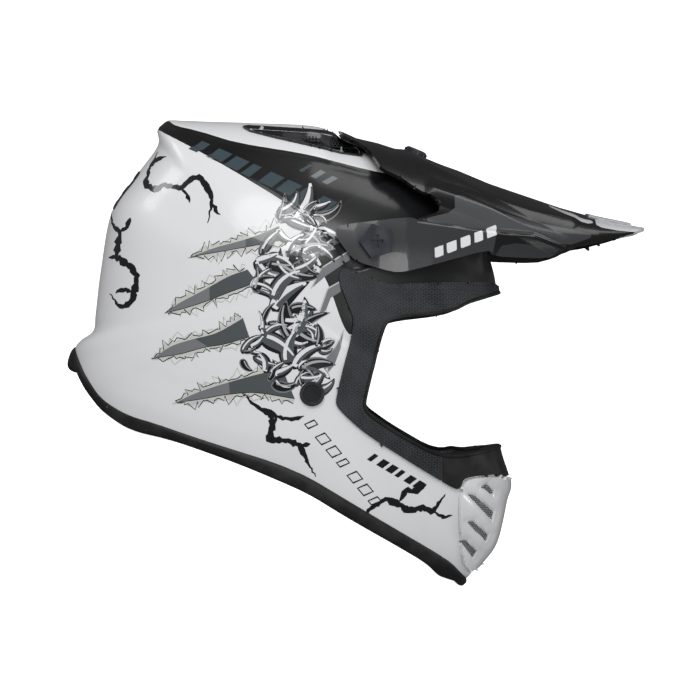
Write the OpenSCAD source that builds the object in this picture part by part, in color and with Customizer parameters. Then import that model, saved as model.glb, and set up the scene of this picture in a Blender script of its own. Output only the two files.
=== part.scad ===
// Off-road motorcycle helmet with an adjustable peak, drawn about the wearer's head.
// +X is forward, +Z is up and the wearer's right side is at -Y. Outlines are side views, as
// [forward, up] points in head axes; stand() turns the finished pieces to rest on a table.

/* [Shell] */
// Half of the shell's width at the ears
half_w = 125; // [118:1:132]
// How full the shell's sides are: 2 is an ellipse, 3 is boxy
side_power = 2.5; // [2.2:0.05:2.8]
// How full the chin bar's nose is
chin_power = 2.1; // [1.9:0.05:2.5]
// Thickness of the laminate
shell_t = 4; // [3:0.5:5]
// Height of the deck's tail above the crown
tail_rise = 136; // [128:1:144]
// How far the shell's edge sits inside the neck roll
rim_grip = 5.5; // [4:0.5:8]

/* [Liner] */
// Half of the head's length
head_l = 100; // [94:1:104]
// Half of the head's width
head_w = 79; // [74:1:82]
// Height of the head above its middle
head_h = 92; // [86:1:96]
// Thickness of the comfort liner
comfort_t = 7.5; // [5:0.5:10]
// Thickness of the foam behind a cheek pad
cheek_core_t = 19; // [15:1:22]
// Distance from the middle to a cheek pad's face
cheek_face = 68; // [60:1:72]
// Thickness of the chin bar's foam
chin_eps_t = 15; // [12:1:18]

/* [Trim] */
// Thickness of the trim on the shell's face
trim_t = 2.2; // [1.5:0.1:3]
// Depth of the lip around the eye port
lip_depth = 9; // [7:0.5:12]
// Width of the lip around the eye port
lip_w = 3; // [2:0.5:4]
// Width of the neck roll, measured inwards
roll_w = 14; // [11:1:16]
// Thickness of the chin vent's cover
cover_t = 3; // [2:0.2:4]
// Thickness of a vent's mesh
mesh_t = 1.2; // [0.8:0.1:1.6]

/* [Peak] */
// Thickness of the peak
peak_t = 3; // [2.4:0.2:3.4]
// Distance from the head's middle to the peak's front edge
peak_reach = 265; // [245:1:285]
// How far the peak turns down from its highest place, in degrees
peak_travel = 10; // [0:1:12]
// Radius of a side screw's shoulder
shoulder_r = 4; // [3:0.1:5]
// Radius of a side screw's head
side_head_r = 13.3; // [11:0.1:15]
// Height of a side screw's head
side_head_h = 5.4; // [4:0.1:7]
// Radius of the top screw's head
top_head_r = 9; // [8:0.5:10]
// Radius of the screw threads
thread_r = 2.95; // [2:0.05:3.4]

/* [Chin strap] */
// Width of the webbing
strap_w = 20; // [18:1:22]
// Thickness of the webbing
strap_t = 2; // [1.6:0.1:2.4]
// How far the buckled strap hangs below its rivets
strap_drop = 58; // [50:1:60]
// Radius of a rivet's shank
rivet_r = 2.9; // [2.4:0.1:3.4]
// Radius of the ring around a rivet
cap_r = 9; // [8:0.5:11]
// Thickness of a strap plate
plate_t = 1.6; // [1.2:0.1:2]
// Radius of the wire of a D-ring
ring_wire_r = 1.6; // [1.2:0.1:1.8]

/* [Fits] */
// Gap between pieces that only rest on each other
seat = 0.3; // [0.2:0.05:0.5]
// Radial clearance of a piece that turns on a pin
running = 0.05; // [0.02:0.01:0.1]

/* [Hidden] */
stand_tilt = 25.6;
stand_lift = 139.6;
stand_shift = -34.9;
reach = 420;
slim = 0.01;
pivot = [65.5, 41.3];
rivet_at = [18, -70];
top_axis = 67;

// Side outline of the closed shell, each point with the part of it that fades to the sides.
side_line = [
    [157, 4, 0], [152, 30, 0], [144, 52, 0], [129, 73, 0], [110, 91, 0], [90, 102, 0],
    [66, 111, 0], [42, 118.5, 0], [22, 131, 4], [-29, 134, 2], [-59, 135, 5],
    [-82, tail_rise, 12], [-93, tail_rise, 17], [-101, tail_rise - 5, 17],
    [-100, 117, 6], [-118, 92, 2], [-135, 66, 0], [-143, 23, 0], [-147, -10, 0],
    [-149, -24, 0], [-161, -33, 10], [-163, -46, 9], [-158, -76, 3], [-135, -130, 0],
    [-80, -185, 0], [0, -226, 0], [70, -236, 0], [127, -216, 0], [144, -198, 0],
    [155, -182, 0], [162, -152, 0], [165, -137, 0], [157, -106, 0], [158, -50, 0],
];
// The same outline as angle and distance from the head's middle, without what fades.
radius_table = [
    for (i = [0:len(side_line)]) let (p = side_line[i % len(side_line)], a = atan2(p[1], p[0]))
        [i == len(side_line) ? a + 360 : a < 0 ? a + 360 : a, norm([p[0], p[1]]) - p[2]]
];
// The open edges, where the shell meets its trims.
eye_port = [
    [200, 8], [157, 4], [134, -3], [119, -11], [74, -16], [70, -23], [57, -75], [58, -82],
    [76, -95], [112, -116], [148, -112], [200, -108],
];
trim_edge = [
    [200, 9], [158, 9], [149, 13], [76, 10], [45, 21], [38, 20], [37, 13], [47, -12],
    [46, -31], [35, -77], [56, -99], [118, -138], [124, -141], [129, -132], [153, -130],
    [161, -134], [200, -128],
];
nose_edge = [[113, -90], [113, -150], [200, -150], [200, -90]];
rim_line = [
    [-200, -30], [-163, -36], [-152, -57], [-139, -74], [-118, -86], [-64, -103],
    [5, -125], [59, -158], [118, -194], [132, -210], [165, -198],
];
// Lowest line of the neck roll, before the table cuts it flat.
base_line = [
    [-200, -38], [-169, -46], [-157, -68], [-143, -84], [-120, -99.5], [-84, -106],
    [-38, -122], [14, -144], [77, -182], [102, -198], [116, -214], [127, -217], [165, -210],
];
vent_edge = [
    [129, -133], [153, -131.5], [161, -136], [200, -140], [200, -182], [137, -204.5],
    [128, -197], [125, -150],
];
mouth_edge = [[137, -142], [200, -146], [200, -172], [137, -192]];
// Slots of the chin vent: middle forward, middle up, length and width.
vent_slots = [[147, -142, 9, 6], [142, -154, 20, 6], [140, -172, 18, 4.5], [133, -186, 14, 4]];
top_edge = [[-36, 129.5], [40, 126.5], [55, 114], [54, 104], [-26, 123]];
top_windows = [[[2, 127], [14, 127], [26, 116], [12, 118]], [[30, 125], [38, 125], [46, 112], [32, 113]]];
liner_edge = [
    [-180, 200], [190, 200], [190, 0], [56, -32], [40, -46], [-60, -60], [-118, -66],
    [-150, -42], [-180, -24],
];
cheek_edge = [
    [-76, -74], [-30, -66], [38, -51], [44, -78], [60, -104], [104, -133], [104, -166],
    [59, -147], [5, -114], [-64, -92],
];
chin_edge = [[107, -133], [125, -144], [132, -136], [200, -136], [200, -186], [128, -196], [107, -180]];
neck_edge = [[-200, -2], [-112, -2], [-70, -42], [-75, -62], [-118, -68], [-150, -46], [-200, -24]];
// The reach that the peak's stations are drawn for, and the place behind which they stay fixed.
drawn_reach = 265;
peak_root = 106;
// How far forward a station is: in front of the root, the stations stretch with the reach.
function peak_x(share) =
    let (x = share * drawn_reach)
    x <= peak_root ? x : peak_root + (x - peak_root) * (peak_reach - peak_root) / (drawn_reach - peak_root);
// Stations of the peak: share of its drawn reach, top, half width and side height.
peak_line = [
    [0.12, 131, 124.5, 27], [0.19, 122.5, 123.5, 27], [0.25, 118.8, 121.8, 27],
    [0.33, 112, 118, 27], [0.4, 105.5, 112.5, 27], [0.48, 98, 105, 28], [0.57, 88, 96, 30],
    [0.67, 79, 87, 30], [0.77, 70, 77, 33], [0.87, 62.5, 65, 40], [0.95, 58, 52, 46],
    [1, 55, 42, 51],
];
peak_edge = [
    [39, 140], [39, 125], [53, 113], [66, 105], [82, 92], [97, 80], [108, 74], [113, 67],
    [125, 63], [96, 58], [86, 59], [40, 53], [35, 49], [36, 44], [43, 34], [50, 27],
    [76, 19], [85, 19], [103, 24], [148, 36], [151, 31], [190, 29.5], [203, 33],
    [peak_x(0.85), 40], [peak_x(0.94), 46], [peak_reach + 5, 53],
    [peak_reach + 5, 140],
];

// Distances from the middle of the pieces around the side screws and the rivets.
disc_gap = 0.4;
boss_y = side_y(pivot) + 2.5;
peak_in_y = boss_y + disc_gap;
peak_out_y = peak_in_y + peak_t;
flange_t = 1.2;
bush_wall = 2.9;
rivet_face = side_y(rivet_at) + 0.6;
rivet_back = rivet_face - 5.2;
plate_y = rivet_back - 4.2 - plate_t;
boss_r = 14.5;

// Turns head axes to the way the helmet stands on a table.
module stand() {
    translate([stand_shift, 0, stand_lift]) rotate([0, -stand_tilt, 0]) children();
}

// Joins everything inside into one smooth mesh.
module one_mesh() {
    resize([0, 0, 0]) children();
}

// A side outline as a block across the whole helmet.
module across(outline, grow = 0) {
    rotate([90, 0, 0])
        linear_extrude(reach, center = true)
            offset(delta = grow)
                polygon(outline);
}

// A cylinder along Y at a side-view point, from one distance from the middle to another.
module pin(at, r, from, to, sides = 48) {
    translate([at[0], from, at[1]])
        rotate([-90, 0, 0])
            cylinder(r = r, h = to - from, $fn = sides);
}

// Drawn on the wearer's left; "r" is the mirrored right side.
module on_side(side) {
    mirror([0, side == "r" ? 1 : 0, 0]) children();
}

function ease(v) = let (c = min(max(v, 0), 1)) c * c * (3 - 2 * c);
function bend(v, power) = sign(v) * pow(abs(v), 2 / power);
// The chin bar is slimmer than the rest of the shell.
function chin_share(p) = ease((p[0] - 30) / 110) * ease((-p[1] - 40) / 90);
function fullness(p) = side_power + (chin_power - side_power) * chin_share(p);

// A point of the shell's surface: side-line point p, turned phi from the middle, d inwards.
function shell_point(p, phi, d) =
    let (
        r = norm([p[0], p[1]]),
        fade = ease(abs(phi) / 50),
        share = (r - p[2] * fade - d) / r,
        c = bend(cos(phi), fullness(p)) * share
    ) [p[0] * c, (half_w - d) * bend(sin(phi), fullness(p)), p[1] * c];

// How far from the middle the shell's face is at a side-view point, d inwards.
function side_y(at, d = 0) =
    let (
        a = atan2(at[1], at[0]),
        edge = lookup(a < radius_table[0][0] ? a + 360 : a, radius_table) - d,
        power = fullness(at * edge / norm(at))
    ) (half_w - d) * pow(1 - pow(norm(at) / edge, power), 1 / power);

// The closed shape of the shell, d millimetres inside its outer face.
module puff(d = 0) {
    steps = 16;
    n = len(side_line);
    rings = [for (j = [1:steps - 1]) for (p = side_line) shell_point(p, -90 + 180 * j / steps, d)];
    poles = [[0, d - half_w, 0], [0, half_w - d, 0]];
    last = n * (steps - 1);
    sides = [
        for (j = [0:steps - 3]) for (i = [0:n - 1]) let (a = j * n + i, b = j * n + (i + 1) % n)
            each j < steps / 2 - 1
                ? [[a, b, b + n], [a, b + n, a + n]]
                : [[a, b, a + n], [b, b + n, a + n]]
    ];
    caps = [
        for (i = [0:n - 1]) let (k = (i + 1) % n)
            each [[last, k, i], [last + 1, last - n + i, last - n + k]]
    ];
    polyhedron(points = concat(rings, poles), faces = concat(sides, caps));
}

// The layer between two depths below the shell's outer face.
module layer(outer, inner) {
    difference() {
        puff(outer);
        puff(inner);
    }
}

// Everything above a line drawn from the back to the front.
module above(line, drop = 0) {
    across(concat([[200, 300], [-200, 300]], [for (p = line) [p[0], p[1] - drop]]));
}

// The head and neck, with d millimetres of room all round.
module head_space(d = 0) {
    hull() {
        translate([6, 0, -8])
            scale([head_l + d, head_w + d, head_h + d])
                sphere(r = 1, $fn = 36);
        translate([0, 0, -180])
            scale([head_l - 14 + d, head_w - 9 + d, 1])
                cylinder(r = 1, h = 60, $fn = 36);
    }
}

// The room that the buckled strap swings through, in head axes.
module strap_room() {
    for (side = ["l", "r"])
        on_side(side) {
            pin(rivet_at, 36, plate_y - 3.4, half_w, 36);
            translate([rivet_at[0], 0, rivet_at[1]])
                rotate([0, stand_tilt, 0])
                    rotate([90, 0, 0])
                        linear_extrude(reach, center = true)
                            polygon([[-22, -22], [22, -22], [41, -90], [-41, -90]]);
        }
}

module shell() {
    hole_r = shoulder_r + 0.6;
    color("white")
        stand() one_mesh() difference() {
            union() {
                difference() {
                    layer(0, shell_t);
                    across(eye_port, lip_w + seat);
                    across(mouth_edge);
                    for (side = ["l", "r"])
                        on_side(side) intersection() {
                            across(top_edge, -2.5);
                            translate([0, 150 + 12, 0]) cube(300, center = true);
                        }
                    rear_block(3);
                }
                for (side = ["l", "r"])
                    on_side(side) {
                        pin(pivot, boss_r, boss_y - 6.5, boss_y + 1);
                        pin(rivet_at, cap_r + 1.5, rivet_back, rivet_face);
                    }
                top_boss();
            }
            difference() {
                translate([0, 0, -250]) cube([600, 600, 500], center = true);
                above(rim_line, rim_grip);
            }
            for (side = ["l", "r"])
                on_side(side) {
                    pin(pivot, thread_r + 0.5, boss_y - 30, boss_y + 30);
                    pin(pivot, boss_r + 3, boss_y, boss_y + 20);
                    pin(pivot, 7 + slim, boss_y - 20, boss_y - 6.5);
                    pin(rivet_at, rivet_r + 0.3, rivet_back - 9, rivet_face + 9);
                    pin(rivet_at, 8.6, rivet_back - 20, rivet_back);
                }
            along_top() cylinder(r = thread_r + 0.5, h = 60, center = true, $fn = 32);
        }
}

// Drawn along the top screw's axis; z = 0 is on the shell's face below the screw.
module along_top() {
    translate([pivot[0], 0, pivot[1]])
        rotate([0, 90 - top_axis, 0])
            translate([0, 0, 66.5])
                children();
}

// How far the boss reaches below the shell's outer face, and the nut behind it.
top_depth = shell_t + 2;
top_nut_h = 5.5;

module top_boss() {
    along_top() translate([0, 0, -top_depth]) cylinder(r = 9, h = top_depth + 3.5, $fn = 32);
}

// The window of the rear vent, with its edge moved outwards by "grow".
module rear_block(grow = 0) {
    translate([-125, 0, 84])
        rotate([0, -52, 0])
            cube([34 - 2 * grow, 78 - 2 * grow, 60], center = true);
}

module eps_liner() {
    color("dimgray")
        stand() one_mesh() difference() {
            intersection() {
                puff(shell_t + seat + 0.3);
                across(liner_edge);
            }
            head_space(comfort_t + seat);
            across(eye_port, lip_w + 6);
            for (side = ["l", "r"])
                on_side(side) {
                    pin(pivot, boss_r + 1, boss_y - 20, half_w);
                    pin(rivet_at, 37, plate_y - 4, half_w);
                    snap_holes();
                }
            along_top() translate([0, 0, -top_depth - 9]) cylinder(r = 12, h = 40, $fn = 24);
            rear_block(2);
            strap_room();
        }
}

module comfort_liner() {
    color("black")
        stand() one_mesh() difference() {
            intersection() {
                head_space(comfort_t);
                across(liner_edge, -4);
            }
            head_space(0);
            across(neck_edge, 3);
            across(eye_port, lip_w + 12);
            on_side("l") snap_holes();
            on_side("r") snap_holes();
        }
}

module neck_pad() {
    color("black")
        stand() one_mesh() difference() {
            intersection() {
                head_space(comfort_t - seat);
                across(neck_edge);
                across(liner_edge, -4);
            }
            head_space(-6);
        }
}

// Places of the snaps between the comfort liner and the foam: forward, up and sideways.
snap_spots = [[-52, -18, 74], [44, 8, 77]];

module snap_holes() {
    for (s = snap_spots)
        pin([s[0], s[1]], 4 + seat, s[2] - 5, s[2] + 6, 16);
}

module liner_snaps() {
    color("gray")
        stand() for (side = ["l", "r"])
            on_side(side) for (s = snap_spots) {
                pin([s[0], s[1]], 4, s[2] + 1, s[2] + 4);
                pin([s[0], s[1]], 2.5, s[2] - 3, s[2] + 1);
            }
}

// Places of the studs behind a cheek pad: forward and up.
stud_spots = [[-54, -80], [46, -106], [76, -132]];
function stud_y(s) = side_y(s, shell_t + cheek_core_t) - 3;

module stud_holes() {
    for (s = stud_spots)
        pin(s, 4 + seat, stud_y(s) - 5, stud_y(s) + 9, 16);
}

module cheek_core(side) {
    color("dimgray")
        stand() on_side(side) one_mesh() difference() {
            intersection() {
                layer(shell_t + seat + 0.3, shell_t + cheek_core_t);
                across(cheek_edge);
                translate([0, 150 + cheek_face - 20, 0]) cube([600, 300, 600], center = true);
            }
            strap_room();
            stud_holes();
        }
}

module cheek_pad(side) {
    color("black")
        stand() on_side(side) one_mesh() difference() {
            intersection() {
                puff(shell_t + cheek_core_t + seat);
                across(cheek_edge, -1);
                translate([0, 150 + cheek_face, 0]) cube([600, 300, 600], center = true);
            }
            strap_room();
            stud_holes();
        }
}

module pad_studs(side) {
    color("gray")
        stand() on_side(side) for (s = stud_spots) {
            pin(s, 4, stud_y(s) + 0.5, stud_y(s) + 6);
            pin(s, 2.5, stud_y(s) - 4, stud_y(s) + 0.5);
        }
}

module chin_eps() {
    color("dimgray")
        stand() one_mesh() difference() {
            intersection() {
                layer(shell_t + seat + 0.3, shell_t + chin_eps_t);
                across(chin_edge);
            }
            across(mouth_edge, -3);
        }
}

module chin_lining() {
    color("black")
        stand() one_mesh() difference() {
            intersection() {
                layer(shell_t + chin_eps_t + seat, shell_t + chin_eps_t + 5);
                across(chin_edge, -2);
            }
            across(mouth_edge, -5);
        }
}

// A strip on the shell's face with a lip that folds through the eye port.
module port_strip() {
    difference() {
        intersection() {
            layer(-trim_t, lip_depth);
            across(trim_edge);
        }
        difference() {
            layer(-seat, lip_depth + 1);
            across(eye_port, lip_w);
        }
        across(eye_port);
    }
}

module eyeport_trim() {
    color([0.12, 0.13, 0.15])
        stand() one_mesh() difference() {
            port_strip();
            across(nose_edge, seat);
        }
}

module nose_guard() {
    color([0.1, 0.1, 0.11])
        stand() one_mesh() intersection() {
            port_strip();
            across(nose_edge);
        }
}

module neck_roll() {
    color([0.08, 0.08, 0.09])
        one_mesh() intersection() {
            stand() difference() {
                intersection() {
                    layer(-trim_t - seat, roll_w);
                    above(base_line);
                }
                above(rim_line);
                intersection() {
                    layer(-seat, shell_t + seat);
                    above(rim_line, rim_grip + seat);
                }
            }
            translate([0, 0, 250]) cube([900, 900, 500], center = true);
        }
}

module chin_vent() {
    color("white")
        stand() one_mesh() difference() {
            intersection() {
                layer(-cover_t, -seat);
                across(vent_edge, -seat);
            }
            for (s = vent_slots)
                translate([s[0], 0, s[1]])
                    rotate([0, 40, 0])
                        cube([s[2], reach, s[3]], center = true);
        }
}

module chin_mesh() {
    color([0.2, 0.2, 0.22])
        stand() one_mesh() intersection() {
            layer(1, 1 + mesh_t);
            across(mouth_edge, -1);
        }
}

module top_vent(side) {
    color([0.1, 0.1, 0.11])
        stand() on_side(side) one_mesh() difference() {
            intersection() {
                layer(-1.5, shell_t - 0.5);
                across(top_edge);
                translate([0, 150 + 12 + seat, 0]) cube(300, center = true);
            }
            difference() {
                layer(-seat, shell_t);
                across(top_edge, -2.5 - seat);
            }
            for (w = top_windows)
                across(w);
        }
}

module top_mesh(side) {
    color([0.3, 0.3, 0.32])
        stand() on_side(side) one_mesh() intersection() {
            layer(0.8, 0.8 + mesh_t);
            for (w = top_windows)
                across(w, -seat / 2);
            across(top_edge, -2.5 - seat);
            translate([0, 150 + 13, 0]) cube(300, center = true);
        }
}

module rear_vent() {
    color([0.1, 0.1, 0.11])
        stand() one_mesh() difference() {
            intersection() {
                layer(-1.5, shell_t - 0.5);
                rear_block();
            }
            difference() {
                layer(-seat, shell_t);
                rear_block(3 + seat);
            }
            translate([-125, 0, 84])
                rotate([0, -52, 0])
                    for (x = [-7, 7])
                        translate([x, 0, 0]) cube([7, 58, 90], center = true);
        }
}

// The peak's arched sheet between two offsets from its outer face.
function peak_row(s, o) =
    let (x = peak_x(s[0]), w = s[2] + half_w - 125 + o, top = s[1] + o, low = s[3])
    concat(
        [[x, -w, low - 14]],
        [for (a = [-90:15:90]) [x, w * bend(sin(a), 2.4), low + (top - low) * bend(cos(a), 2.4)]],
        [[x, w, low - 14]]
    );

module peak_sheet(outer, inner) {
    k = 15;
    n = len(peak_line);
    points = [for (s = peak_line) each concat(peak_row(s, outer), peak_row(s, inner))];
    m = 2 * k;
    function at(i, j, inside) = i * m + (inside ? k : 0) + j;
    faces = concat(
        [for (i = [0:n - 2]) for (j = [0:k - 2]) each [
            [at(i, j, false), at(i, j + 1, false), at(i + 1, j + 1, false)],
            [at(i, j, false), at(i + 1, j + 1, false), at(i + 1, j, false)],
            [at(i, j, true), at(i + 1, j + 1, true), at(i, j + 1, true)],
            [at(i, j, true), at(i + 1, j, true), at(i + 1, j + 1, true)],
        ]],
        [for (i = [0:n - 2]) each [
            [at(i, 0, false), at(i + 1, 0, false), at(i + 1, 0, true)],
            [at(i, 0, false), at(i + 1, 0, true), at(i, 0, true)],
            [at(i, k - 1, false), at(i + 1, k - 1, true), at(i + 1, k - 1, false)],
            [at(i, k - 1, false), at(i, k - 1, true), at(i + 1, k - 1, true)],
        ]],
        [for (j = [0:k - 2]) each [
            [at(0, j, false), at(0, j, true), at(0, j + 1, true)],
            [at(0, j, false), at(0, j + 1, true), at(0, j + 1, false)],
            [at(n - 1, j, false), at(n - 1, j + 1, true), at(n - 1, j, true)],
            [at(n - 1, j, false), at(n - 1, j + 1, false), at(n - 1, j + 1, true)],
        ]]
    );
    polyhedron(points = points, faces = faces);
}

module peak() {
    slot_r = thread_r + 1.3;
    color([0.25, 0.25, 0.27])
        stand() one_mesh() difference() {
            union() {
                intersection() {
                    peak_sheet(0, -peak_t);
                    across(peak_edge);
                }
                for (side = ["l", "r"])
                    on_side(side) pin(pivot, boss_r + 2, peak_in_y, peak_out_y, 40);
            }
            for (side = ["l", "r"])
                on_side(side) {
                    pin(pivot, shoulder_r + running + bush_wall + seat, 90, half_w + 20, 32);
                    pin(pivot, boss_r + 0.8, 90, peak_in_y - slim, 32);
                    pin(pivot, 15.5, peak_out_y, half_w + 20);
                }
            for (a = [0:2:peak_travel])
                translate([pivot[0], 0, pivot[1]])
                    rotate([0, 90 - top_axis - a, 0])
                        cylinder(r = slot_r, h = 120, $fn = 20);
        }
}

module peak_lip() {
    color([0.75, 0.76, 0.78])
        stand() one_mesh() intersection() {
            peak_sheet(1.6, seat);
            across([for (u = [[0.86, 30], [0.97, 40], [0.97, 90], [0.84, 90]]) [peak_x(u[0]), u[1]]]);
            cube([900, 64, 900], center = true);
        }
}

// A bush in the peak's arm, turning on the side screw's shoulder.
module side_bush(side) {
    color("silver")
        stand() on_side(side) difference() {
            union() {
                pin(pivot, shoulder_r + running + bush_wall, peak_in_y, peak_out_y + slim);
                pin(pivot, shoulder_r + running + bush_wall + 2.5, peak_out_y, peak_out_y + flange_t);
            }
            pin(pivot, shoulder_r + running, boss_y - 5, peak_out_y + 10);
        }
}

module side_screw(side) {
    head_y = peak_out_y + flange_t + disc_gap;
    color([0.15, 0.16, 0.2])
        stand() on_side(side) difference() {
            union() {
                translate([pivot[0], head_y, pivot[1]])
                    rotate([-90, 0, 0])
                        rotate([0, 0, 180])
                            cylinder(r = side_head_r, h = side_head_h, $fn = 5);
                pin(pivot, shoulder_r, boss_y, head_y + slim);
                pin(pivot, thread_r, boss_y - 16, boss_y + slim);
            }
            translate([pivot[0], head_y + side_head_h, pivot[1]]) {
                cube([9, 2.4, 2], center = true);
                cube([2, 2.4, 9], center = true);
            }
        }
}

// A threaded insert moulded behind the shell's boss.
module side_nut(side) {
    color("goldenrod")
        stand() on_side(side) difference() {
            pin(pivot, 7, boss_y - 12.5, boss_y - 6.5 - slim);
            pin(pivot, thread_r + running, boss_y - 30, boss_y);
        }
}

module top_screw() {
    color([0.15, 0.16, 0.2])
        stand() along_top() difference() {
            union() {
                translate([0, 0, 8.9]) cylinder(r = top_head_r, h = 2.4, $fn = 48);
                translate([0, 0, 11.29]) cylinder(r1 = top_head_r, r2 = top_head_r - 2, h = 1.6, $fn = 48);
                translate([0, 0, -top_depth - top_nut_h - 1.5])
                    cylinder(r = thread_r, h = top_depth + top_nut_h + 10.5, $fn = 48);
            }
            translate([0, 0, 12.9]) cube([9, 2, 2.4], center = true);
            translate([0, 0, 12.9]) cube([2, 9, 2.4], center = true);
        }
}

module top_nut() {
    color("goldenrod")
        stand() along_top() difference() {
            translate([0, 0, -top_depth - top_nut_h]) cylinder(r = 7, h = top_nut_h - slim, $fn = 48);
            translate([0, 0, -top_depth - 14]) cylinder(r = thread_r + running, h = 30, $fn = 48);
        }
}

module rivet(side) {
    color("silver")
        stand() on_side(side) {
            pin(rivet_at, cap_r - 2.8, rivet_face, rivet_face + 1.6);
            pin(rivet_at, rivet_r, plate_y - 1.9, rivet_face + slim);
            pin(rivet_at, rivet_r + 2.6, plate_y - 1.9, plate_y - 0.3);
        }
}

module rivet_cap(side) {
    color([0.1, 0.1, 0.12])
        stand() on_side(side) translate([rivet_at[0], rivet_face, rivet_at[1]])
            rotate([-90, 0, 0])
                rotate_extrude($fn = 64)
                    polygon([
                        [cap_r - 2.7, 0], [cap_r, 0], [cap_r, 0.8], [cap_r - 1.1, 2],
                        [cap_r - 2.2, 2], [cap_r - 2.7, 1.6],
                    ]);
}

module rivet_washer(side) {
    color("silver")
        stand() on_side(side) difference() {
            pin(rivet_at, 8, rivet_back - 1.1, rivet_back);
            pin(rivet_at, rivet_r + 0.2, rivet_back - 9, rivet_back + 9);
        }
}

// Drawn in axes that hang plumb from the rivets, with the origin on their line.
module hang() {
    stand() translate([rivet_at[0], 0, rivet_at[1]]) rotate([0, stand_tilt, 0]) children();
}

module strap_plate(side) {
    color("silver")
        hang() on_side(side) difference() {
            union() {
                pin([0, 0], 9, plate_y, plate_y + plate_t);
                translate([-strap_w / 2, plate_y, -20]) cube([strap_w, plate_t, 20]);
            }
            pin([0, 0], rivet_r + running, plate_y - 9, plate_y + 9);
        }
}

// A band of even thickness between two offsets from a line of [y, z] points.
function turned(a, b) = let (d = b - a) [-d[1], d[0]] / norm(d);
function beside(path, i, o) =
    let (
        n = len(path),
        u = turned(path[max(i - 1, 0)], path[max(i, 1)]),
        v = turned(path[min(i, n - 2)], path[min(i + 1, n - 1)]),
        m = (u + v) / norm(u + v)
    ) path[i] + m * o / (m * u);
function band(path, low, high) =
    concat(
        [for (i = [0:len(path) - 1]) beside(path, i, low)],
        [for (i = [len(path) - 1:-1:0]) beside(path, i, high)]
    );

module web(path, low = -strap_t / 2, high = strap_t / 2, w = strap_w) {
    rotate([90, 0, 90]) linear_extrude(w, center = true) polygon(band(path, low, high));
}

web_y = plate_y - strap_t / 2 - slim;
ring_room = 2 * ring_wire_r * 2 + 0.6;
low_z = -strap_drop;
high_z = low_z + ring_room + strap_t;
turn_r = (high_z - low_z) / 2;
// Half of the buckled strap, from below the plate to the middle of the chin.
side_run = [[web_y, -11], [web_y, -30], [web_y - 5, -41], [web_y - 20, -51], [web_y - 45, low_z]];
function turn(y) = [for (a = [-90:30:90]) [y + turn_r * cos(a), (low_z + high_z) / 2 + turn_r * sin(a)]];
long_run = concat(
    [for (p = side_run) [-p[0], p[1]]],
    turn(-3.4),
    [[-14, high_z], [-26, low_z + strap_t + 0.3], [-54, low_z + strap_t + 0.3]]
);
short_run = concat(
    side_run,
    [for (p = turn(-18)) [-p[0], p[1]]],
    [[30, high_z], [42, low_z + strap_t + 0.3], [58, low_z + strap_t + 0.3]]
);

module strap_long() {
    color([0.09, 0.09, 0.1])
        hang() difference() {
            web(long_run);
            translate([0, snap_y, low_z - 20]) cylinder(r = 2.2, h = 40, $fn = 32);
        }
}

module strap_short() {
    color([0.09, 0.09, 0.1])
        hang() web(short_run);
}

// A D-ring with its bar in the short strap's loop and its bow in the long strap's.
module d_ring(z) {
    bow_r = strap_w / 2 + 3;
    bar_y = 24;
    bow_y = 4;
    color("silver")
        hang() translate([0, 0, z]) {
            translate([0, bow_y, 0])
                rotate([0, 0, 180])
                    rotate_extrude(angle = 180, $fn = 64)
                        translate([bow_r, 0]) circle(r = ring_wire_r, $fn = 24);
            for (x = [-bow_r, bow_r]) {
                translate([x, bow_y, 0])
                    rotate([-90, 0, 0]) cylinder(r = ring_wire_r, h = bar_y - bow_y, $fn = 24);
                translate([x, bar_y, 0]) sphere(r = ring_wire_r, $fn = 24);
            }
            translate([-bow_r, bar_y, 0])
                rotate([0, 90, 0]) cylinder(r = ring_wire_r, h = 2 * bow_r, $fn = 24);
        }
}

module d_ring_upper() {
    d_ring(low_z + strap_t / 2 + 0.4 + 3 * ring_wire_r);
}

module d_ring_lower() {
    d_ring(low_z + strap_t / 2 + 0.2 + ring_wire_r);
}

snap_y = -42;

module strap_snap() {
    top = low_z + 1.5 * strap_t + 0.3;
    color("silver")
        hang() translate([0, snap_y, 0]) {
            translate([0, 0, low_z - strap_t / 2 - 1.2]) cylinder(r = 6, h = 1.15, $fn = 40);
            translate([0, 0, low_z - strap_t / 2 - 0.5]) cylinder(r = 2, h = 2 * strap_t + 1.2, $fn = 40);
            translate([0, 0, top + 0.1]) cylinder(r1 = 6, r2 = 5, h = 1.4, $fn = 40);
        }
}

module strap_sleeve() {
    color([0.12, 0.12, 0.13])
        hang() web([for (i = [2:4]) [-side_run[i][0], side_run[i][1]]], 1 + seat, 6, strap_w + 6);
}

shell();
eps_liner();
comfort_liner();
neck_pad();
cheek_core("r");  // cheek_core_r
cheek_core("l");  // cheek_core_l
cheek_pad("r");  // cheek_pad_r
cheek_pad("l");  // cheek_pad_l
chin_eps();
chin_lining();
eyeport_trim();
nose_guard();
neck_roll();
chin_vent();
chin_mesh();
top_vent("r");  // top_vent_r
top_vent("l");  // top_vent_l
top_mesh("r");  // top_mesh_r
top_mesh("l");  // top_mesh_l
rear_vent();
peak();
peak_lip();
side_bush("r");  // side_bush_r
side_bush("l");  // side_bush_l
side_screw("r");  // side_screw_r
side_screw("l");  // side_screw_l
side_nut("r");  // side_nut_r
side_nut("l");  // side_nut_l
top_screw();
top_nut();
rivet("r");  // rivet_r
rivet("l");  // rivet_l
rivet_cap("r");  // rivet_cap_r
rivet_cap("l");  // rivet_cap_l
rivet_washer("r");  // rivet_washer_r
rivet_washer("l");  // rivet_washer_l
strap_plate("r");  // strap_plate_r
strap_plate("l");  // strap_plate_l
strap_long();
strap_short();
d_ring_upper();
d_ring_lower();
strap_snap();
strap_sleeve();
pad_studs("r");  // pad_studs_r
pad_studs("l");  // pad_studs_l
liner_snaps();
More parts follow.
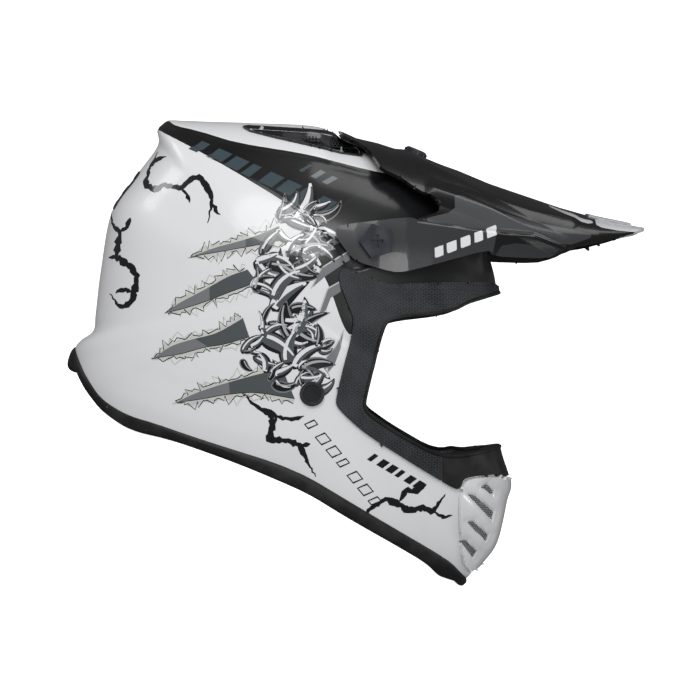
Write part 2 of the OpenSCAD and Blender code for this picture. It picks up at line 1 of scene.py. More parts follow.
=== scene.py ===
"""Builds the looks of an off-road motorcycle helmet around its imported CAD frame.

Shapes are drawn in head axes: millimetres from the middle of the wearer's head, +X forward and
+Z up, as [forward, up] side views. HeadAxes turns them to the row, in metres, where the helmet
stands on its neck roll. Every surface is a function of two parameters, worked out on a grid.
"""

import logging
import math
from collections.abc import Callable, Sequence
from dataclasses import dataclass, field
from enum import Enum
from functools import cached_property

import bmesh
import bpy
import numpy as np
from mathutils import Matrix, Vector


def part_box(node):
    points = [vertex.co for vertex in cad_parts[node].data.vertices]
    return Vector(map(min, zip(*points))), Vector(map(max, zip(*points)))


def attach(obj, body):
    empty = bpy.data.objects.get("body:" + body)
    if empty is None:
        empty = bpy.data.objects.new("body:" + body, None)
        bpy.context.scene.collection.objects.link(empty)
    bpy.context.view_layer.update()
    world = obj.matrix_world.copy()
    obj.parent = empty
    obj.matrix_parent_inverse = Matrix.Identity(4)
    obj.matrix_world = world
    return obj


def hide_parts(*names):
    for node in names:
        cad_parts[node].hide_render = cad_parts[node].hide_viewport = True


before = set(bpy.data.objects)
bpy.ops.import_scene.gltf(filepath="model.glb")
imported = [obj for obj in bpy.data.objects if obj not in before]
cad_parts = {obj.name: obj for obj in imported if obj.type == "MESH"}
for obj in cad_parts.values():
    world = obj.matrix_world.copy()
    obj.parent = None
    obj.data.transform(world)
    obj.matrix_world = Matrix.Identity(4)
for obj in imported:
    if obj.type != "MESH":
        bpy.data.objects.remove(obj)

LOG = logging.getLogger("helmet")
MM = 0.001
PIVOT = (65.5, 41.3)
RIVET = (18.0, -70.0)

Array = np.ndarray
Points = Sequence[Sequence[float]]
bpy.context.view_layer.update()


def ease(value: Array) -> Array:
    """A smooth step from 0 to 1: 3v^2 - 2v^3 of the value held between 0 and 1."""
    held = np.clip(value, 0.0, 1.0)
    return held * held * (3.0 - 2.0 * held)


def bend(value: Array, power: Array) -> Array:
    """The value raised to 2 over power with its sign kept, which draws a superellipse."""
    return np.sign(value) * np.abs(value) ** (2.0 / power)


def rounded(points: Points, passes: int = 2, closed: bool = True) -> Array:
    """Rounds an outline's corners by cutting a fifth off each end of every side.

    Args:
        points: the outline's corners.
        passes: how many times the corners are cut.
        closed: whether the last point joins the first.

    Returns:
        The finer outline as rows of [forward, up].
    """
    line = np.asarray(points, float)
    for _ in range(passes):
        ahead = np.roll(line, -1, axis=0) if closed else line[1:]
        here = line if closed else line[:-1]
        cut = np.stack([0.8 * here + 0.2 * ahead, 0.2 * here + 0.8 * ahead], 1).reshape(-1, 2)
        line = cut if closed else np.vstack([line[:1], cut, line[-1:]])
    return line


def resampled(path: Array, step: float) -> Array:
    """Points at even distances along a path, about step apart, ends kept."""
    lengths = np.linalg.norm(np.diff(path, axis=0), axis=1)
    along = np.concatenate([[0.0], np.cumsum(lengths)])
    places = np.linspace(0.0, along[-1], max(int(round(along[-1] / step)), 2) + 1)
    return np.stack([np.interp(places, along, path[:, k]) for k in range(path.shape[1])], 1)


def unit(vectors: Array) -> Array:
    """The vectors at length 1."""
    return vectors / np.maximum(np.linalg.norm(vectors, axis=-1, keepdims=True), 1e-9)


@dataclass(frozen=True)
class HeadAxes:
    """The turn and shift from head axes, in millimetres, to the row, in metres."""

    turn: float
    shift: tuple[float, float]

    @classmethod
    def from_frame(cls) -> "HeadAxes":
        """Reads the turn off two round CAD parts whose places in head axes are known."""
        nut, rivet = (
            sum((Vector(c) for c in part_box(n)), Vector()) / (2 * MM) for n in ("side_nut_r", "rivet_r")
        )
        row = math.atan2(nut.z - rivet.z, nut.x - rivet.x)
        head = math.atan2(PIVOT[1] - RIVET[1], PIVOT[0] - RIVET[0])
        turn = row - head
        x = PIVOT[0] * math.cos(turn) - PIVOT[1] * math.sin(turn)
        z = PIVOT[0] * math.sin(turn) + PIVOT[1] * math.cos(turn)
        return cls(turn, (nut.x - x, nut.z - z))

    def to_row(self, points: Array) -> Array:
        """Turns points in head millimetres into row metres."""
        c, s = math.cos(self.turn), math.sin(self.turn)
        x, y, z = points[..., 0], points[..., 1], points[..., 2]
        return np.stack([x * c - z * s + self.shift[0], y, x * s + z * c + self.shift[1]], -1) * MM

    def to_head(self, points: Array) -> Array:
        """Turns points in row metres into head millimetres."""
        c, s = math.cos(self.turn), math.sin(self.turn)
        x, z = points[..., 0] / MM - self.shift[0], points[..., 2] / MM - self.shift[1]
        return np.stack([x * c + z * s, points[..., 1] / MM, -x * s + z * c], -1)


AXES = HeadAxes.from_frame()
MADE: dict[str, bpy.types.Material] = {}


@dataclass(frozen=True)
class Outline:
    """A closed side-view outline that knows how deep inside it a point lies."""

    points: Array

    @classmethod
    def of(cls, points: Points, passes: int = 2) -> "Outline":
        """An outline with its corners rounded."""
        return cls(rounded(points, passes))

    def depth(self, x: Array, z: Array) -> Array:
        """Distance to the outline: positive inside, negative outside.

        The distance is the least over all sides, and a point is inside when a ray from it
        crosses an odd number of sides.
        """
        shape = np.shape(x)
        px, pz = np.ravel(x), np.ravel(z)
        least = np.full(px.shape, 1e12)
        odd = np.zeros(px.shape, bool)
        for (ax, az), (bx, bz) in zip(self.points, np.roll(self.points, -1, axis=0)):
            dx, dz = bx - ax, bz - az
            t = np.clip(((px - ax) * dx + (pz - az) * dz) / max(dx * dx + dz * dz, 1e-12), 0.0, 1.0)
            least = np.minimum(least, (px - ax - t * dx) ** 2 + (pz - az - t * dz) ** 2)
            if az != bz:
                crosses = ((az > pz) != (bz > pz)) & (px < (pz - az) * dx / dz + ax)
                odd ^= crosses
        return np.where(odd, 1.0, -1.0).reshape(shape) * np.sqrt(least).reshape(shape)


def signed_gap(line: Array, x: Array, z: Array) -> tuple[Array, Array, Array]:
    """Distance from an open line with a sign for its side, without the sign, and how far along.

    Args:
        line: the line's points.
        x: how far forward the tested points are.
        z: how far up the tested points are.

    Returns:
        The signed distance to the nearest side's own straight line, the plain distance, and the
        share of the line's length at the nearest place.
    """
    least = np.full(x.shape, 1e9)
    signed = np.zeros(x.shape)
    share = np.zeros(x.shape)
    lengths = np.linalg.norm(np.diff(line, axis=0), axis=1)
    starts = np.concatenate([[0.0], np.cumsum(lengths)])
    for k, (a, b) in enumerate(zip(line[:-1], line[1:])):
        d = b - a
        t = np.clip(((x - a[0]) * d[0] + (z - a[1]) * d[1]) / (d @ d), 0.0, 1.0)
        gap = np.hypot(x - a[0] - t * d[0], z - a[1] - t * d[1])
        side = ((x - a[0]) * d[1] - (z - a[1]) * d[0]) / lengths[k]
        near = gap < least
        least = np.where(near, gap, least)
        signed = np.where(near, side, signed)
        share = np.where(near, (starts[k] + t * lengths[k]) / starts[-1], share)
    return signed, least, share


class Lines:
    """The helmet's side-view outlines, in head axes."""

    crown: Points = (
        (157, 4, 0), (152, 30, 0), (144, 52, 0), (129, 73, 0), (110, 91, 0), (90, 102, 0),
        (66, 111, 0), (42, 118.5, 0), (22, 131, 4), (-29, 134, 2), (-59, 135, 5), (-82, 136, 12),
        (-93, 136, 17), (-101, 131, 17), (-100, 117, 6), (-118, 92, 2), (-135, 66, 0),
        (-143, 23, 0), (-147, -10, 0), (-149, -24, 0), (-161, -33, 10), (-163, -46, 9),
        (-158, -76, 3), (-135, -130, 0), (-80, -185, 0), (0, -226, 0), (70, -236, 0),
        (127, -216, 0), (144, -198, 0), (155, -182, 0), (162, -152, 0), (165, -137, 0),
        (157, -106, 0), (158, -50, 0),
    )
    port: Points = (
        (157.5, 4), (134, -3), (119, -11), (75, -16), (70, -23), (57, -75), (58, -82), (76, -95),
        (112, -116), (148, -112), (156, -108),
    )
    trim: Points = (
        (200, 9), (158, 9), (149, 13), (76, 10), (69, 11), (45, 21), (39, 21), (37, 13), (47, -12),
        (48, -18), (46, -31), (40, -53), (35, -75), (36, -80), (56, -99), (118, -138), (124, -141),
        (126, -139), (129, -132), (153, -130), (161, -134), (200, -128),
    )
    rim: Points = (
        (-162.5, -36), (-152, -57), (-139, -74), (-118, -86), (-96, -92), (-64, -103), (5, -125),
        (59, -158), (118, -194), (132, -209),
    )
    base: Points = (
        (-165, -54), (-157, -68), (-143, -84), (-120, -98.5), (-84, -106), (-38, -122),
        (14, -144), (40, -160), (77, -182), (102, -198), (116, -212), (128, -215),
    )
    chin_cover: Points = (
        (129, -133), (153, -131.5), (161, -136), (200, -140), (200, -182), (150, -194),
        (137, -204.5), (128, -197), (125, -150),
    )
    mouth: Points = ((137, -142), (200, -146), (200, -172), (137, -192))
    top_vent: Points = ((-37, 129.6), (-5, 127.5), (40, 124.6), (54.7, 113), (54.7, 104), (-27, 123))
    peak: Points = (
        (39, 150), (39, 125), (46, 118), (58, 108), (66, 102), (82, 90), (97, 79.5), (108, 74),
        (112, 68), (110, 63), (96, 58.5), (86, 59), (40, 53.5), (35, 50), (36, 44), (43, 34),
        (50, 26.5), (76, 19), (85, 19), (103, 23.5), (148, 36), (151, 31), (190, 29.5), (203, 33),
        (215, 39), (226, 40.5), (248, 46), (264, 52.5), (270, 56), (270, 150),
    )


@dataclass
class ShellForm:
    """The closed shape behind every panel of the shell.

    A point is a side-line point shrunk towards the head's middle by cos(phi), while it moves
    sideways by sin(phi), both bent to a superellipse, so that phi = 0 draws the side line and
    phi = 90 degrees is the side's middle.
    """

    half_width: float = 125.0
    side_power: float = 2.5
    chin_power: float = 2.1

    @cached_property
    def table(self) -> tuple[Array, Array, Array]:
        """Angle, radius and fading lift along the side line, smoothed by a Catmull-Rom spline."""
        p = np.asarray(Lines.crown, float)
        t = np.linspace(0.0, 1.0, 12, endpoint=False)[:, None, None]
        a, b, c, d = (np.roll(p, k, axis=0)[None] for k in (1, 0, -1, -2))
        spline = b + 0.5 * t * (c - a + t * (2 * a - 5 * b + 4 * c - d + t * (3 * (b - c) + d - a)))
        fine = spline.transpose(1, 0, 2).reshape(-1, 3)
        angle = np.unwrap(np.arctan2(fine[:, 1], fine[:, 0]))
        order = np.argsort(angle)
        angle, radius, lift = angle[order], np.hypot(fine[:, 0], fine[:, 1])[order], fine[order, 2]
        turn = 2 * math.pi
        return (
            np.concatenate([angle - turn, angle, angle + turn]),
            np.tile(radius, 3),
            np.tile(lift, 3),
        )

    def edge(self, theta: Array) -> tuple[Array, Array, Array]:
        """The side line's radius, the lift that fades to the sides and the fullness at an angle."""
        angle, radius, lift = self.table
        r = np.interp(theta, angle, radius)
        x, z = r * np.cos(theta), r * np.sin(theta)
        chin = ease((x - 30.0) / 110.0) * ease((-z - 40.0) / 90.0)
        power = self.side_power + (self.chin_power - self.side_power) * chin
        return r, np.interp(theta, angle, lift), power

    def point(self, theta: Array, phi: Array, out: Array | float = 0.0) -> Array:
        """The surface's point at two angles in radians, out millimetres beyond it."""
        r, lift, power = self.edge(theta)
        share = r - lift * ease(np.abs(phi) / math.radians(50)) + out
        c = bend(np.cos(phi), power) * share
        y = (self.half_width + out) * bend(np.sin(phi), power)
        return np.stack([c * np.cos(theta), y, c * np.sin(theta)], -1)

    def normal(self, theta: Array, phi: Array) -> Array:
        """The outward direction, from the cross product of the two central differences."""
        phi = np.clip(phi, -math.radians(88.5), math.radians(88.5))
        h = 0.008
        along = self.point(theta + h, phi) - self.point(theta - h, phi)
        across = self.point(theta, phi + h) - self.point(theta, phi - h)
        n = unit(np.cross(along, across))
        return n * np.sign(np.sum(n * self.point(theta, phi), -1, keepdims=True))

    def angles(self, x: Array, z: Array) -> tuple[Array, Array]:
        """The two angles of side-view points on the left; past the side line phi is 0."""
        theta = np.arctan2(z, x)
        r, lift, power = self.edge(theta)
        phi = np.full(theta.shape, math.radians(60))
        for _ in range(12):
            share = np.clip(np.hypot(x, z) / (r - lift * ease(phi / math.radians(50))), 0.0, 1.0)
            phi = 0.5 * phi + 0.5 * np.arccos(share ** (power / 2))
        phi = np.arccos(share ** (power / 2))
        return theta, phi


FORM = ShellForm()


@dataclass
class Mesh:
    """A mesh in head millimetres, with values on its points."""

    points: Array
    faces: Array
    values: dict[str, Array] = field(default_factory=dict)
    uv: Array | None = None


def grid_faces(rows: int, columns: int, wrap_rows: bool = False, wrap_columns: bool = False) -> Array:
    """Four-sided faces between neighbouring points of a grid, each row after the other."""
    i = np.arange(rows if wrap_rows else rows - 1)[:, None]
    j = np.arange(columns if wrap_columns else columns - 1)[None, :]
    a = i * columns + j
    b = i * columns + (j + 1) % columns
    c = ((i + 1) % rows) * columns + (j + 1) % columns
    d = ((i + 1) % rows) * columns + j
    return np.stack([a, b, c, d], -1).reshape(-1, 4)


def trimmed_grid(
    place: Callable[[Array, Array], Array],
    region: Callable[[Array], Array],
    u: Array,
    v: Array,
    wrap: bool = False,
) -> tuple[Array, Array, Array]:
    """Keeps the part of a grid surface that lies in a region, with a smooth edge.

    Each grid point less than about half a cell from the region's edge slides onto it along the
    steepest slope of the region's depth, so no cell is left cut.

    Args:
        place: gives surface points in head millimetres from the two parameters.
        region: gives each point's depth inside the region, negative outside.
        u: the first parameter's values.
        v: the second parameter's values.
        wrap: whether the first parameter comes round to its start.

    Returns:
        The two parameters of every kept point, and the faces.
    """
    gu, gv = np.meshgrid(u, v, indexing="ij")
    su, sv = abs(u[1] - u[0]), abs(v[1] - v[0])
    moved_u, moved_v = gu.copy(), gv.copy()
    for _ in range(3):
        depth = region(place(moved_u, moved_v))
        du = (region(place(moved_u + 0.1 * su, moved_v)) - depth) / 0.1
        dv = (region(place(moved_u, moved_v + 0.1 * sv)) - depth) / 0.1
        slope = np.maximum(du * du + dv * dv, 1e-9)
        next_u = moved_u - su * depth * du / slope
        next_v = moved_v - sv * depth * dv / slope
        near = (np.abs(next_u - gu) < 0.62 * su) & (np.abs(next_v - gv) < 0.62 * sv)
        moved_u = np.where(near, next_u, moved_u)
        moved_v = np.where(near, next_v, moved_v)
    depth = region(place(moved_u, moved_v))
    faces = grid_faces(len(u), len(v), wrap_rows=wrap)
    kept = faces[np.all(depth.ravel()[faces] > -0.12, axis=1)]
    used, indices = np.unique(kept, return_inverse=True)
    return moved_u.ravel()[used], moved_v.ravel()[used], indices.reshape(-1, 4)


def shell_panel(
    region: Callable[[Array], Array],
    out: float = 0.0,
    relief: Callable[[Array], Array] | None = None,
    step: float = 2.0,
    span: tuple[float, float] = (0.0, 360.0),
) -> Mesh:
    """A panel of the shell's surface, out millimetres beyond it plus a relief of its own.

    Args:
        region: the depth of shell points inside the panel.
        out: how far the panel stands off the shell.
        relief: further height of each point, from its place on the shell.
        step: the size of a cell at the side line, in millimetres.
        span: the angles in degrees, about the head's middle, that the panel lies between.

    Returns:
        The panel's outer face.
    """
    whole = span[1] - span[0] >= 360.0
    rows = int(math.radians(span[1] - span[0]) * 165 / step)
    u = np.radians(np.linspace(span[0], span[1], rows, endpoint=not whole))
    v = np.radians(np.linspace(-90, 90, int(520 / step) | 1))
    theta, phi, faces = trimmed_grid(FORM.point, region, u, v, whole)
    flat = FORM.point(theta, phi)
    height = out + (relief(flat) if relief else 0.0)
    points = flat + FORM.normal(theta, phi) * np.broadcast_to(height, theta.shape)[:, None]
    return Mesh(points, faces, uv=flat[:, [0, 2]] * 0.01)


def swept(path: Array, normals: Array, profile: Array, closed: bool = True) -> Mesh:
    """A profile carried along a path.

    Each profile point [across, out] is set off sideways along the cross product of the path's
    direction and its normal, and outwards along the normal.
    """
    ahead = np.roll(path, -1, 0) - np.roll(path, 1, 0) if closed else np.gradient(path, axis=0)
    across = unit(np.cross(unit(ahead), normals))
    rings = (
        path[:, None]
        + across[:, None] * profile[None, :, :1]
        + normals[:, None] * profile[None, :, 1:2]
    )
    n, m = rings.shape[:2]
    faces = grid_faces(n, m, closed, True)
    along = np.concatenate([[0], np.cumsum(np.linalg.norm(np.diff(path, axis=0), axis=1))])
    uv = np.stack([np.repeat(along, m), np.tile(np.linspace(0, 1, m), n) * 20], -1) * 0.01
    return Mesh(rings.reshape(-1, 3), faces, uv=uv)


def joined(*meshes: Mesh) -> Mesh:
    """Several meshes as one; values that one lacks are 0 there."""
    start, faces = 0, []
    for m in meshes:
        faces.append(m.faces + start)
        start += len(m.points)
    names = sorted({n for m in meshes for n in m.values})
    values = {n: np.concatenate([m.values.get(n, np.zeros(len(m.points))) for m in meshes]) for n in names}
    uv = np.concatenate([np.zeros((len(m.points), 2)) if m.uv is None else m.uv for m in meshes])
    return Mesh(np.concatenate([m.points for m in meshes]), np.concatenate(faces), values, uv)


def mirrored(mesh: Mesh) -> Mesh:
    """The mesh on the wearer's other side, with its faces still pointing outwards."""
    return Mesh(mesh.points * [1, -1, 1], mesh.faces[:, ::-1], mesh.values, mesh.uv)


def loop_on_shell(line: Points, step: float = 2.0, passes: int = 2) -> tuple[Array, Array]:
    """The two angles along a closed loop over the shell, from an open side-view line.

    The line starts and ends on the middle plane, runs down the right side and comes back up the
    left.
    """
    fine = resampled(rounded(line, passes, closed=False), 0.05)
    theta, phi = FORM.angles(fine[:, 0], fine[:, 1])
    theta = np.unwrap(theta)
    phi[[0, -1]] = 0.0
    space = FORM.point(theta, phi)
    lengths = np.concatenate([[0], np.cumsum(np.linalg.norm(np.diff(space, axis=0), axis=1))])
    places = np.linspace(0, lengths[-1], int(lengths[-1] / step))
    theta, phi = np.interp(places, lengths, theta), np.interp(places, lengths, phi)
    return np.concatenate([theta, theta[-2:0:-1]]), np.concatenate([-phi, phi[-2:0:-1]])


def add_piece(
    name: str,
    mesh: Mesh,
    material: bpy.types.Material,
    replaces: Sequence[str] = (),
    body: str = "shell",
    thickness: float = 0.0,
    bevel: float = 0.0,
    smooth: bool = True,
) -> bpy.types.Object:
    """Puts a mesh into the scene as a finished piece that rides on a CAD body.

    Args:
        name: the piece's name.
        mesh: its shape in head millimetres, faces pointing either way as long as they agree.
        material: its finish.
        replaces: the CAD nodes that it stands for.
        body: the CAD body that it moves with.
        thickness: depth of the wall grown inwards, in millimetres.
        bevel: width of the rounding along sharp edges, in millimetres.
        smooth: whether its faces are shaded as one surface.

    Returns:
        The new object.
    """
    points = AXES.to_row(mesh.points)
    data = bpy.data.meshes.new(name)
    data.from_pydata(points.tolist(), [], mesh.faces.tolist())
    for key, value in mesh.values.items():
        data.attributes.new(key, "FLOAT", "POINT").data.foreach_set("value", value.astype(np.float32))
    if mesh.uv is not None:
        loops = np.empty(len(data.loops), np.int32)
        data.loops.foreach_get("vertex_index", loops)
        data.uv_layers.new(name="UVMap").data.foreach_set("uv", mesh.uv[loops].astype(np.float32).ravel())
    work = bmesh.new()
    work.from_mesh(data)
    bmesh.ops.remove_doubles(work, verts=work.verts, dist=2e-6)
    bmesh.ops.dissolve_degenerate(work, edges=work.edges, dist=1e-7)
    work.to_mesh(data)
    work.free()
    data.polygons.foreach_set("use_smooth", np.full(len(data.polygons), smooth))
    data.materials.append(material)
    obj = bpy.data.objects.new(name, data)
    bpy.context.scene.collection.objects.link(obj)
    if thickness:
        wall = obj.modifiers.new("wall", "SOLIDIFY")
        wall.thickness, wall.offset = thickness * MM, -1.0
    if bevel:
        edge = obj.modifiers.new("edge", "BEVEL")
        edge.width, edge.segments, edge.limit_method = bevel * MM, 2, "ANGLE"
        edge.angle_limit, edge.harden_normals = math.radians(40), True
    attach(obj, body)
    if replaces:
        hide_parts(*replaces)
    LOG.info("%s: %d faces on %s", name, len(data.polygons), body)
    return obj


def facing_out(mesh: Mesh, centre: Sequence[float] = (0.0, 0.0, 0.0)) -> Mesh:
    """The mesh with its faces turned to point away from a centre, judged by their mean."""
    quad = mesh.points[mesh.faces]
    normal = np.cross(quad[:, 2] - quad[:, 0], quad[:, 3] - quad[:, 1])
    outward = np.sum(normal * (quad.mean(1) - np.asarray(centre)))
    if outward < 0:
        return Mesh(mesh.points, mesh.faces[:, ::-1], mesh.values, mesh.uv)
    return mesh


@dataclass
class Web:
    """Lays nodes in a tree and joins them."""

    tree: bpy.types.NodeTree

    def add(self, kind: str, sockets: dict[str | int, object] | None = None, **settings: object) -> bpy.types.Node:
        """Adds a node.

        Args:
            kind: the node's type.
            sockets: by name or number, a value to set or a socket to join.
            settings: the node's own settings.

        Returns:
            The node.
        """
        node = self.tree.nodes.new(kind)
        for key, value in settings.items():
            setattr(node, key, value)
        for key, value in (sockets or {}).items():
            if isinstance(value, bpy.types.NodeSocket):
                self.tree.links.new(value, node.inputs[key])
            else:
                node.inputs[key].default_value = value
        return node

    def math(self, operation: str, *values: object) -> bpy.types.NodeSocket:
        """A sum, product or other number worked out from others."""
        return self.add("ShaderNodeMath", dict(enumerate(values)), operation=operation).outputs[0]

    def vector(self, operation: str, *values: object) -> bpy.types.Node:
        """A vector worked out from others."""
        return self.add("ShaderNodeVectorMath", dict(enumerate(values)), operation=operation)

    def mix(self, share: object, low: object, high: object) -> bpy.types.NodeSocket:
        """A colour between two others."""
        node = self.add("ShaderNodeMix", {0: share, 6: low, 7: high}, data_type="RGBA")
        return node.outputs[2]

    def spread(self, value: object, low: float, high: float, start: float = 0.0, end: float = 1.0) -> bpy.types.NodeSocket:
        """A smooth step from start to end as the value goes from low to high."""
        return self.add(
            "ShaderNodeMapRange",
            {0: value, 1: low, 2: high, 3: start, 4: end},
            interpolation_type="SMOOTHSTEP",
        ).outputs[0]

    def place(self) -> bpy.types.NodeSocket:
        """The place on the piece, in metres."""
        return self.add("ShaderNodeTexCoord").outputs["Object"]

    def noise(self, where: object, scale: float, detail: float = 3.0) -> bpy.types.NodeSocket:
        """Soft random values that repeat about scale times in a metre."""
        return self.add(
            "ShaderNodeTexNoise", {"Vector": where, "Scale": scale, "Detail": detail}
        ).outputs[0]

    def value(self, name: str) -> bpy.types.NodeSocket:
        """A value that the piece's points carry."""
        return self.add("ShaderNodeAttribute", attribute_name=name).outputs["Fac"]


def group(name: str, inputs: dict[str, str], outputs: dict[str, str]) -> tuple[Web, bpy.types.Node, bpy.types.Node] | None:
    """A new node group with its sockets, or None where it was made before."""
    if name in bpy.data.node_groups:
        return None
    tree = bpy.data.node_groups.new(name, "ShaderNodeTree")
    for key, kind in inputs.items():
        tree.interface.new_socket(name=key, in_out="INPUT", socket_type=kind)
    for key, kind in outputs.items():
        tree.interface.new_socket(name=key, in_out="OUTPUT", socket_type=kind)
    web = Web(tree)
    return web, web.add("NodeGroupInput"), web.add("NodeGroupOutput")


def surface_group() -> bpy.types.NodeTree:
    """Fine grain for a bump, soft blotches, and small scratches, all from the place on a piece."""
    made = group("surface", {"Grain": "NodeSocketFloat"}, {
        "Height": "NodeSocketFloat", "Blotch": "NodeSocketFloat", "Scratch": "NodeSocketFloat"})
    if made:
        web, start, end = made
        where = web.place()
        fine = web.add("ShaderNodeTexNoise", {"Vector": where, "Scale": start.outputs[0], "Detail": 3.0})
        web.tree.links.new(fine.outputs[0], end.inputs[0])
        blotch = web.math("MULTIPLY", web.noise(where, 22.0, 4.0), web.noise(where, 70.0))
        web.tree.links.new(web.spread(blotch, 0.15, 0.4), end.inputs[1])
        streak = web.add("ShaderNodeMapping", {"Vector": where, "Scale": (90.0, 900.0, 400.0), "Rotation": (0.4, 0.7, 0.2)})
        thin = web.noise(streak.outputs[0], 1.0, 5.0)
        web.tree.links.new(web.spread(thin, 0.66, 0.72), end.inputs[2])
    return bpy.data.node_groups["surface"]


def dots_group() -> bpy.types.NodeTree:
    """Distance to the nearest dot of a honeycomb lattice, as a share of its pitch.

    Two rectangular lattices, one pitch by 1.732 pitches and half a cell apart, make the
    honeycomb; each distance is the length of the place modulo the cell less half the cell.
    """
    made = group("dots", {"Pitch": "NodeSocketFloat"}, {"Distance": "NodeSocketFloat"})
    if made:
        web, start, end = made
        turned = web.add("ShaderNodeMapping", {"Vector": web.place(), "Rotation": (0.0, AXES.turn, 0.0)})
        scaled = web.vector("DIVIDE", turned.outputs[0], web.add(
            "ShaderNodeCombineXYZ", {0: start.outputs[0], 1: start.outputs[0], 2: start.outputs[0]}).outputs[0])
        flat = web.vector("MULTIPLY", scaled.outputs[0], (1.0, 0.0, 1.0)).outputs[0]
        gaps = []
        for shift in ((500.0, 0.0, 519.6), (500.5, 0.0, 520.466)):
            moved = web.vector("ADD", flat, shift).outputs[0]
            cell = web.vector("MODULO", moved, (1.0, 1.0, 1.7320508)).outputs[0]
            centred = web.vector("SUBTRACT", cell, (0.5, 0.0, 0.8660254)).outputs[0]
            gaps.append(web.vector("LENGTH", centred).outputs["Value"])
        web.tree.links.new(web.math("MINIMUM", *gaps), end.inputs[0])
    return bpy.data.node_groups["dots"]


def weave_group() -> bpy.types.NodeTree:
    """Height and shade of threads that cross over and under, from the piece's own UV map."""
    made = group("weave", {"Threads": "NodeSocketFloat"}, {"Height": "NodeSocketFloat"})
    if made:
        web, start, end = made
        uv = web.add("ShaderNodeUVMap").outputs[0]
        parts = web.add("ShaderNodeSeparateXYZ", {0: uv})
        u = web.math("MULTIPLY", parts.outputs[0], start.outputs[0])
        v = web.math("MULTIPLY", parts.outputs[1], start.outputs[0])
        over = web.math("SINE", web.math("ADD", u, v))
        under = web.math("SINE", web.math("SUBTRACT", u, v))
        web.tree.links.new(web.math("MULTIPLY", over, under), end.inputs[0])
    return bpy.data.node_groups["weave"]


class Pattern(Enum):
    """The relief and colouring that a finish carries."""

    GRAIN = "grain"
    BEADS = "beads"
    KNIT = "knit"
    WEAVE = "weave"
    BRUSHED = "brushed"
    MESH = "mesh"
    RINGS = "rings"


@dataclass(frozen=True)
class Finish:
    """A material made from two colours, a pattern of a certain size, and a gloss.

    cell is the pattern's size and depth its bump, both in millimetres.
    """

    name: str
    colour: tuple[float, float, float]
    second: tuple[float, float, float]
    roughness: float
    pattern: Pattern
    cell: float
    depth: float
    metallic: float = 0.0
    coat: float = 0.0
    sheen: float = 0.0

    def build(self) -> bpy.types.Material:
        """The material, made once and then shared."""
        if self.name in MADE:
            return MADE[self.name]
        material = MADE[self.name] = bpy.data.materials.new(f"finish_{self.name}")
        material.use_nodes = True
        web = Web(material.node_tree)
        shader = material.node_tree.nodes["Principled BSDF"]
        surface = web.add("ShaderNodeGroup", node_tree=surface_group())
        surface.inputs[0].default_value = 1000.0 / self.cell
        height, share = self.relief(web, surface)
        blotch = web.math("MULTIPLY", surface.outputs[1], 0.35)
        tone = web.math("ADD", web.math("MULTIPLY", share, 0.65), blotch)
        base = web.mix(tone, (*self.colour, 1.0), (*self.second, 1.0))
        rough = web.math("ADD", self.roughness - 0.05, web.math("MULTIPLY", surface.outputs[1], 0.12))
        rough = web.math("ADD", rough, web.math("MULTIPLY", surface.outputs[2], 0.08))
        bump = web.add("ShaderNodeBump", {"Height": height, "Strength": 0.8, "Distance": self.depth * MM})
        for key, value in (("Base Color", base), ("Roughness", rough), ("Normal", bump.outputs[0])):
            web.tree.links.new(value, shader.inputs[key])
        shader.inputs["Metallic"].default_value = self.metallic
        shader.inputs["Coat Weight"].default_value = self.coat
        shader.inputs["Coat Roughness"].default_value = 0.08
        shader.inputs["Sheen Weight"].default_value = self.sheen
        shader.inputs["Sheen Roughness"].default_value = 0.5
        material.diffuse_color = (*self.colour, 1.0)
        return material

    def relief(self, web: Web, surface: bpy.types.Node) -> tuple[bpy.types.NodeSocket, bpy.types.NodeSocket]:
        """The pattern's height and its share of the second colour."""
        where = web.place()
        if self.pattern is Pattern.BEADS:
            beads = web.add("ShaderNodeTexVoronoi", {"Vector": where, "Scale": 1000.0 / self.cell})
            return web.math("SUBTRACT", 1.0, beads.outputs["Distance"]), web.spread(beads.outputs["Distance"], 0.2, 0.6)
        if self.pattern is Pattern.KNIT:
            loops = web.add("ShaderNodeTexVoronoi", {"Vector": where, "Scale": 1000.0 / self.cell}, feature="SMOOTH_F1")
            fuzz = web.math("MULTIPLY", surface.outputs[0], 0.5)
            return web.math("SUBTRACT", fuzz, loops.outputs["Distance"]), web.spread(loops.outputs["Distance"], 0.1, 0.7)
        if self.pattern is Pattern.WEAVE:
            threads = web.add("ShaderNodeGroup", {0: 6283.0 / self.cell * 0.1}, node_tree=weave_group())
            return threads.outputs[0], web.spread(threads.outputs[0], -0.6, 0.6)
        if self.pattern is Pattern.BRUSHED:
            lines = web.add("ShaderNodeMapping", {"Vector": where, "Scale": (60.0, 60.0, 1000.0 / self.cell)})
            fine = web.noise(lines.outputs[0], 1.0, 4.0)
            return fine, web.spread(fine, 0.3, 0.7)
        if self.pattern in (Pattern.MESH, Pattern.RINGS):
            dots = web.add("ShaderNodeGroup", {0: self.cell * MM}, node_tree=dots_group())
            if self.pattern is Pattern.MESH:
                web.tree.links.new(web.spread(dots.outputs[0], 0.34, 0.38), web.tree.nodes["Principled BSDF"].inputs["Alpha"])
                return web.spread(dots.outputs[0], 0.34, 0.5), web.spread(dots.outputs[0], 0.38, 0.5)
            ring = web.math("ABSOLUTE", web.math("SUBTRACT", dots.outputs[0], 0.32))
            line = web.spread(ring, 0.03, 0.1, 1.0, 0.0)
            return web.math("ADD", line, web.math("MULTIPLY", surface.outputs[0], 0.15)), line
        return surface.outputs[0], surface.outputs[1]


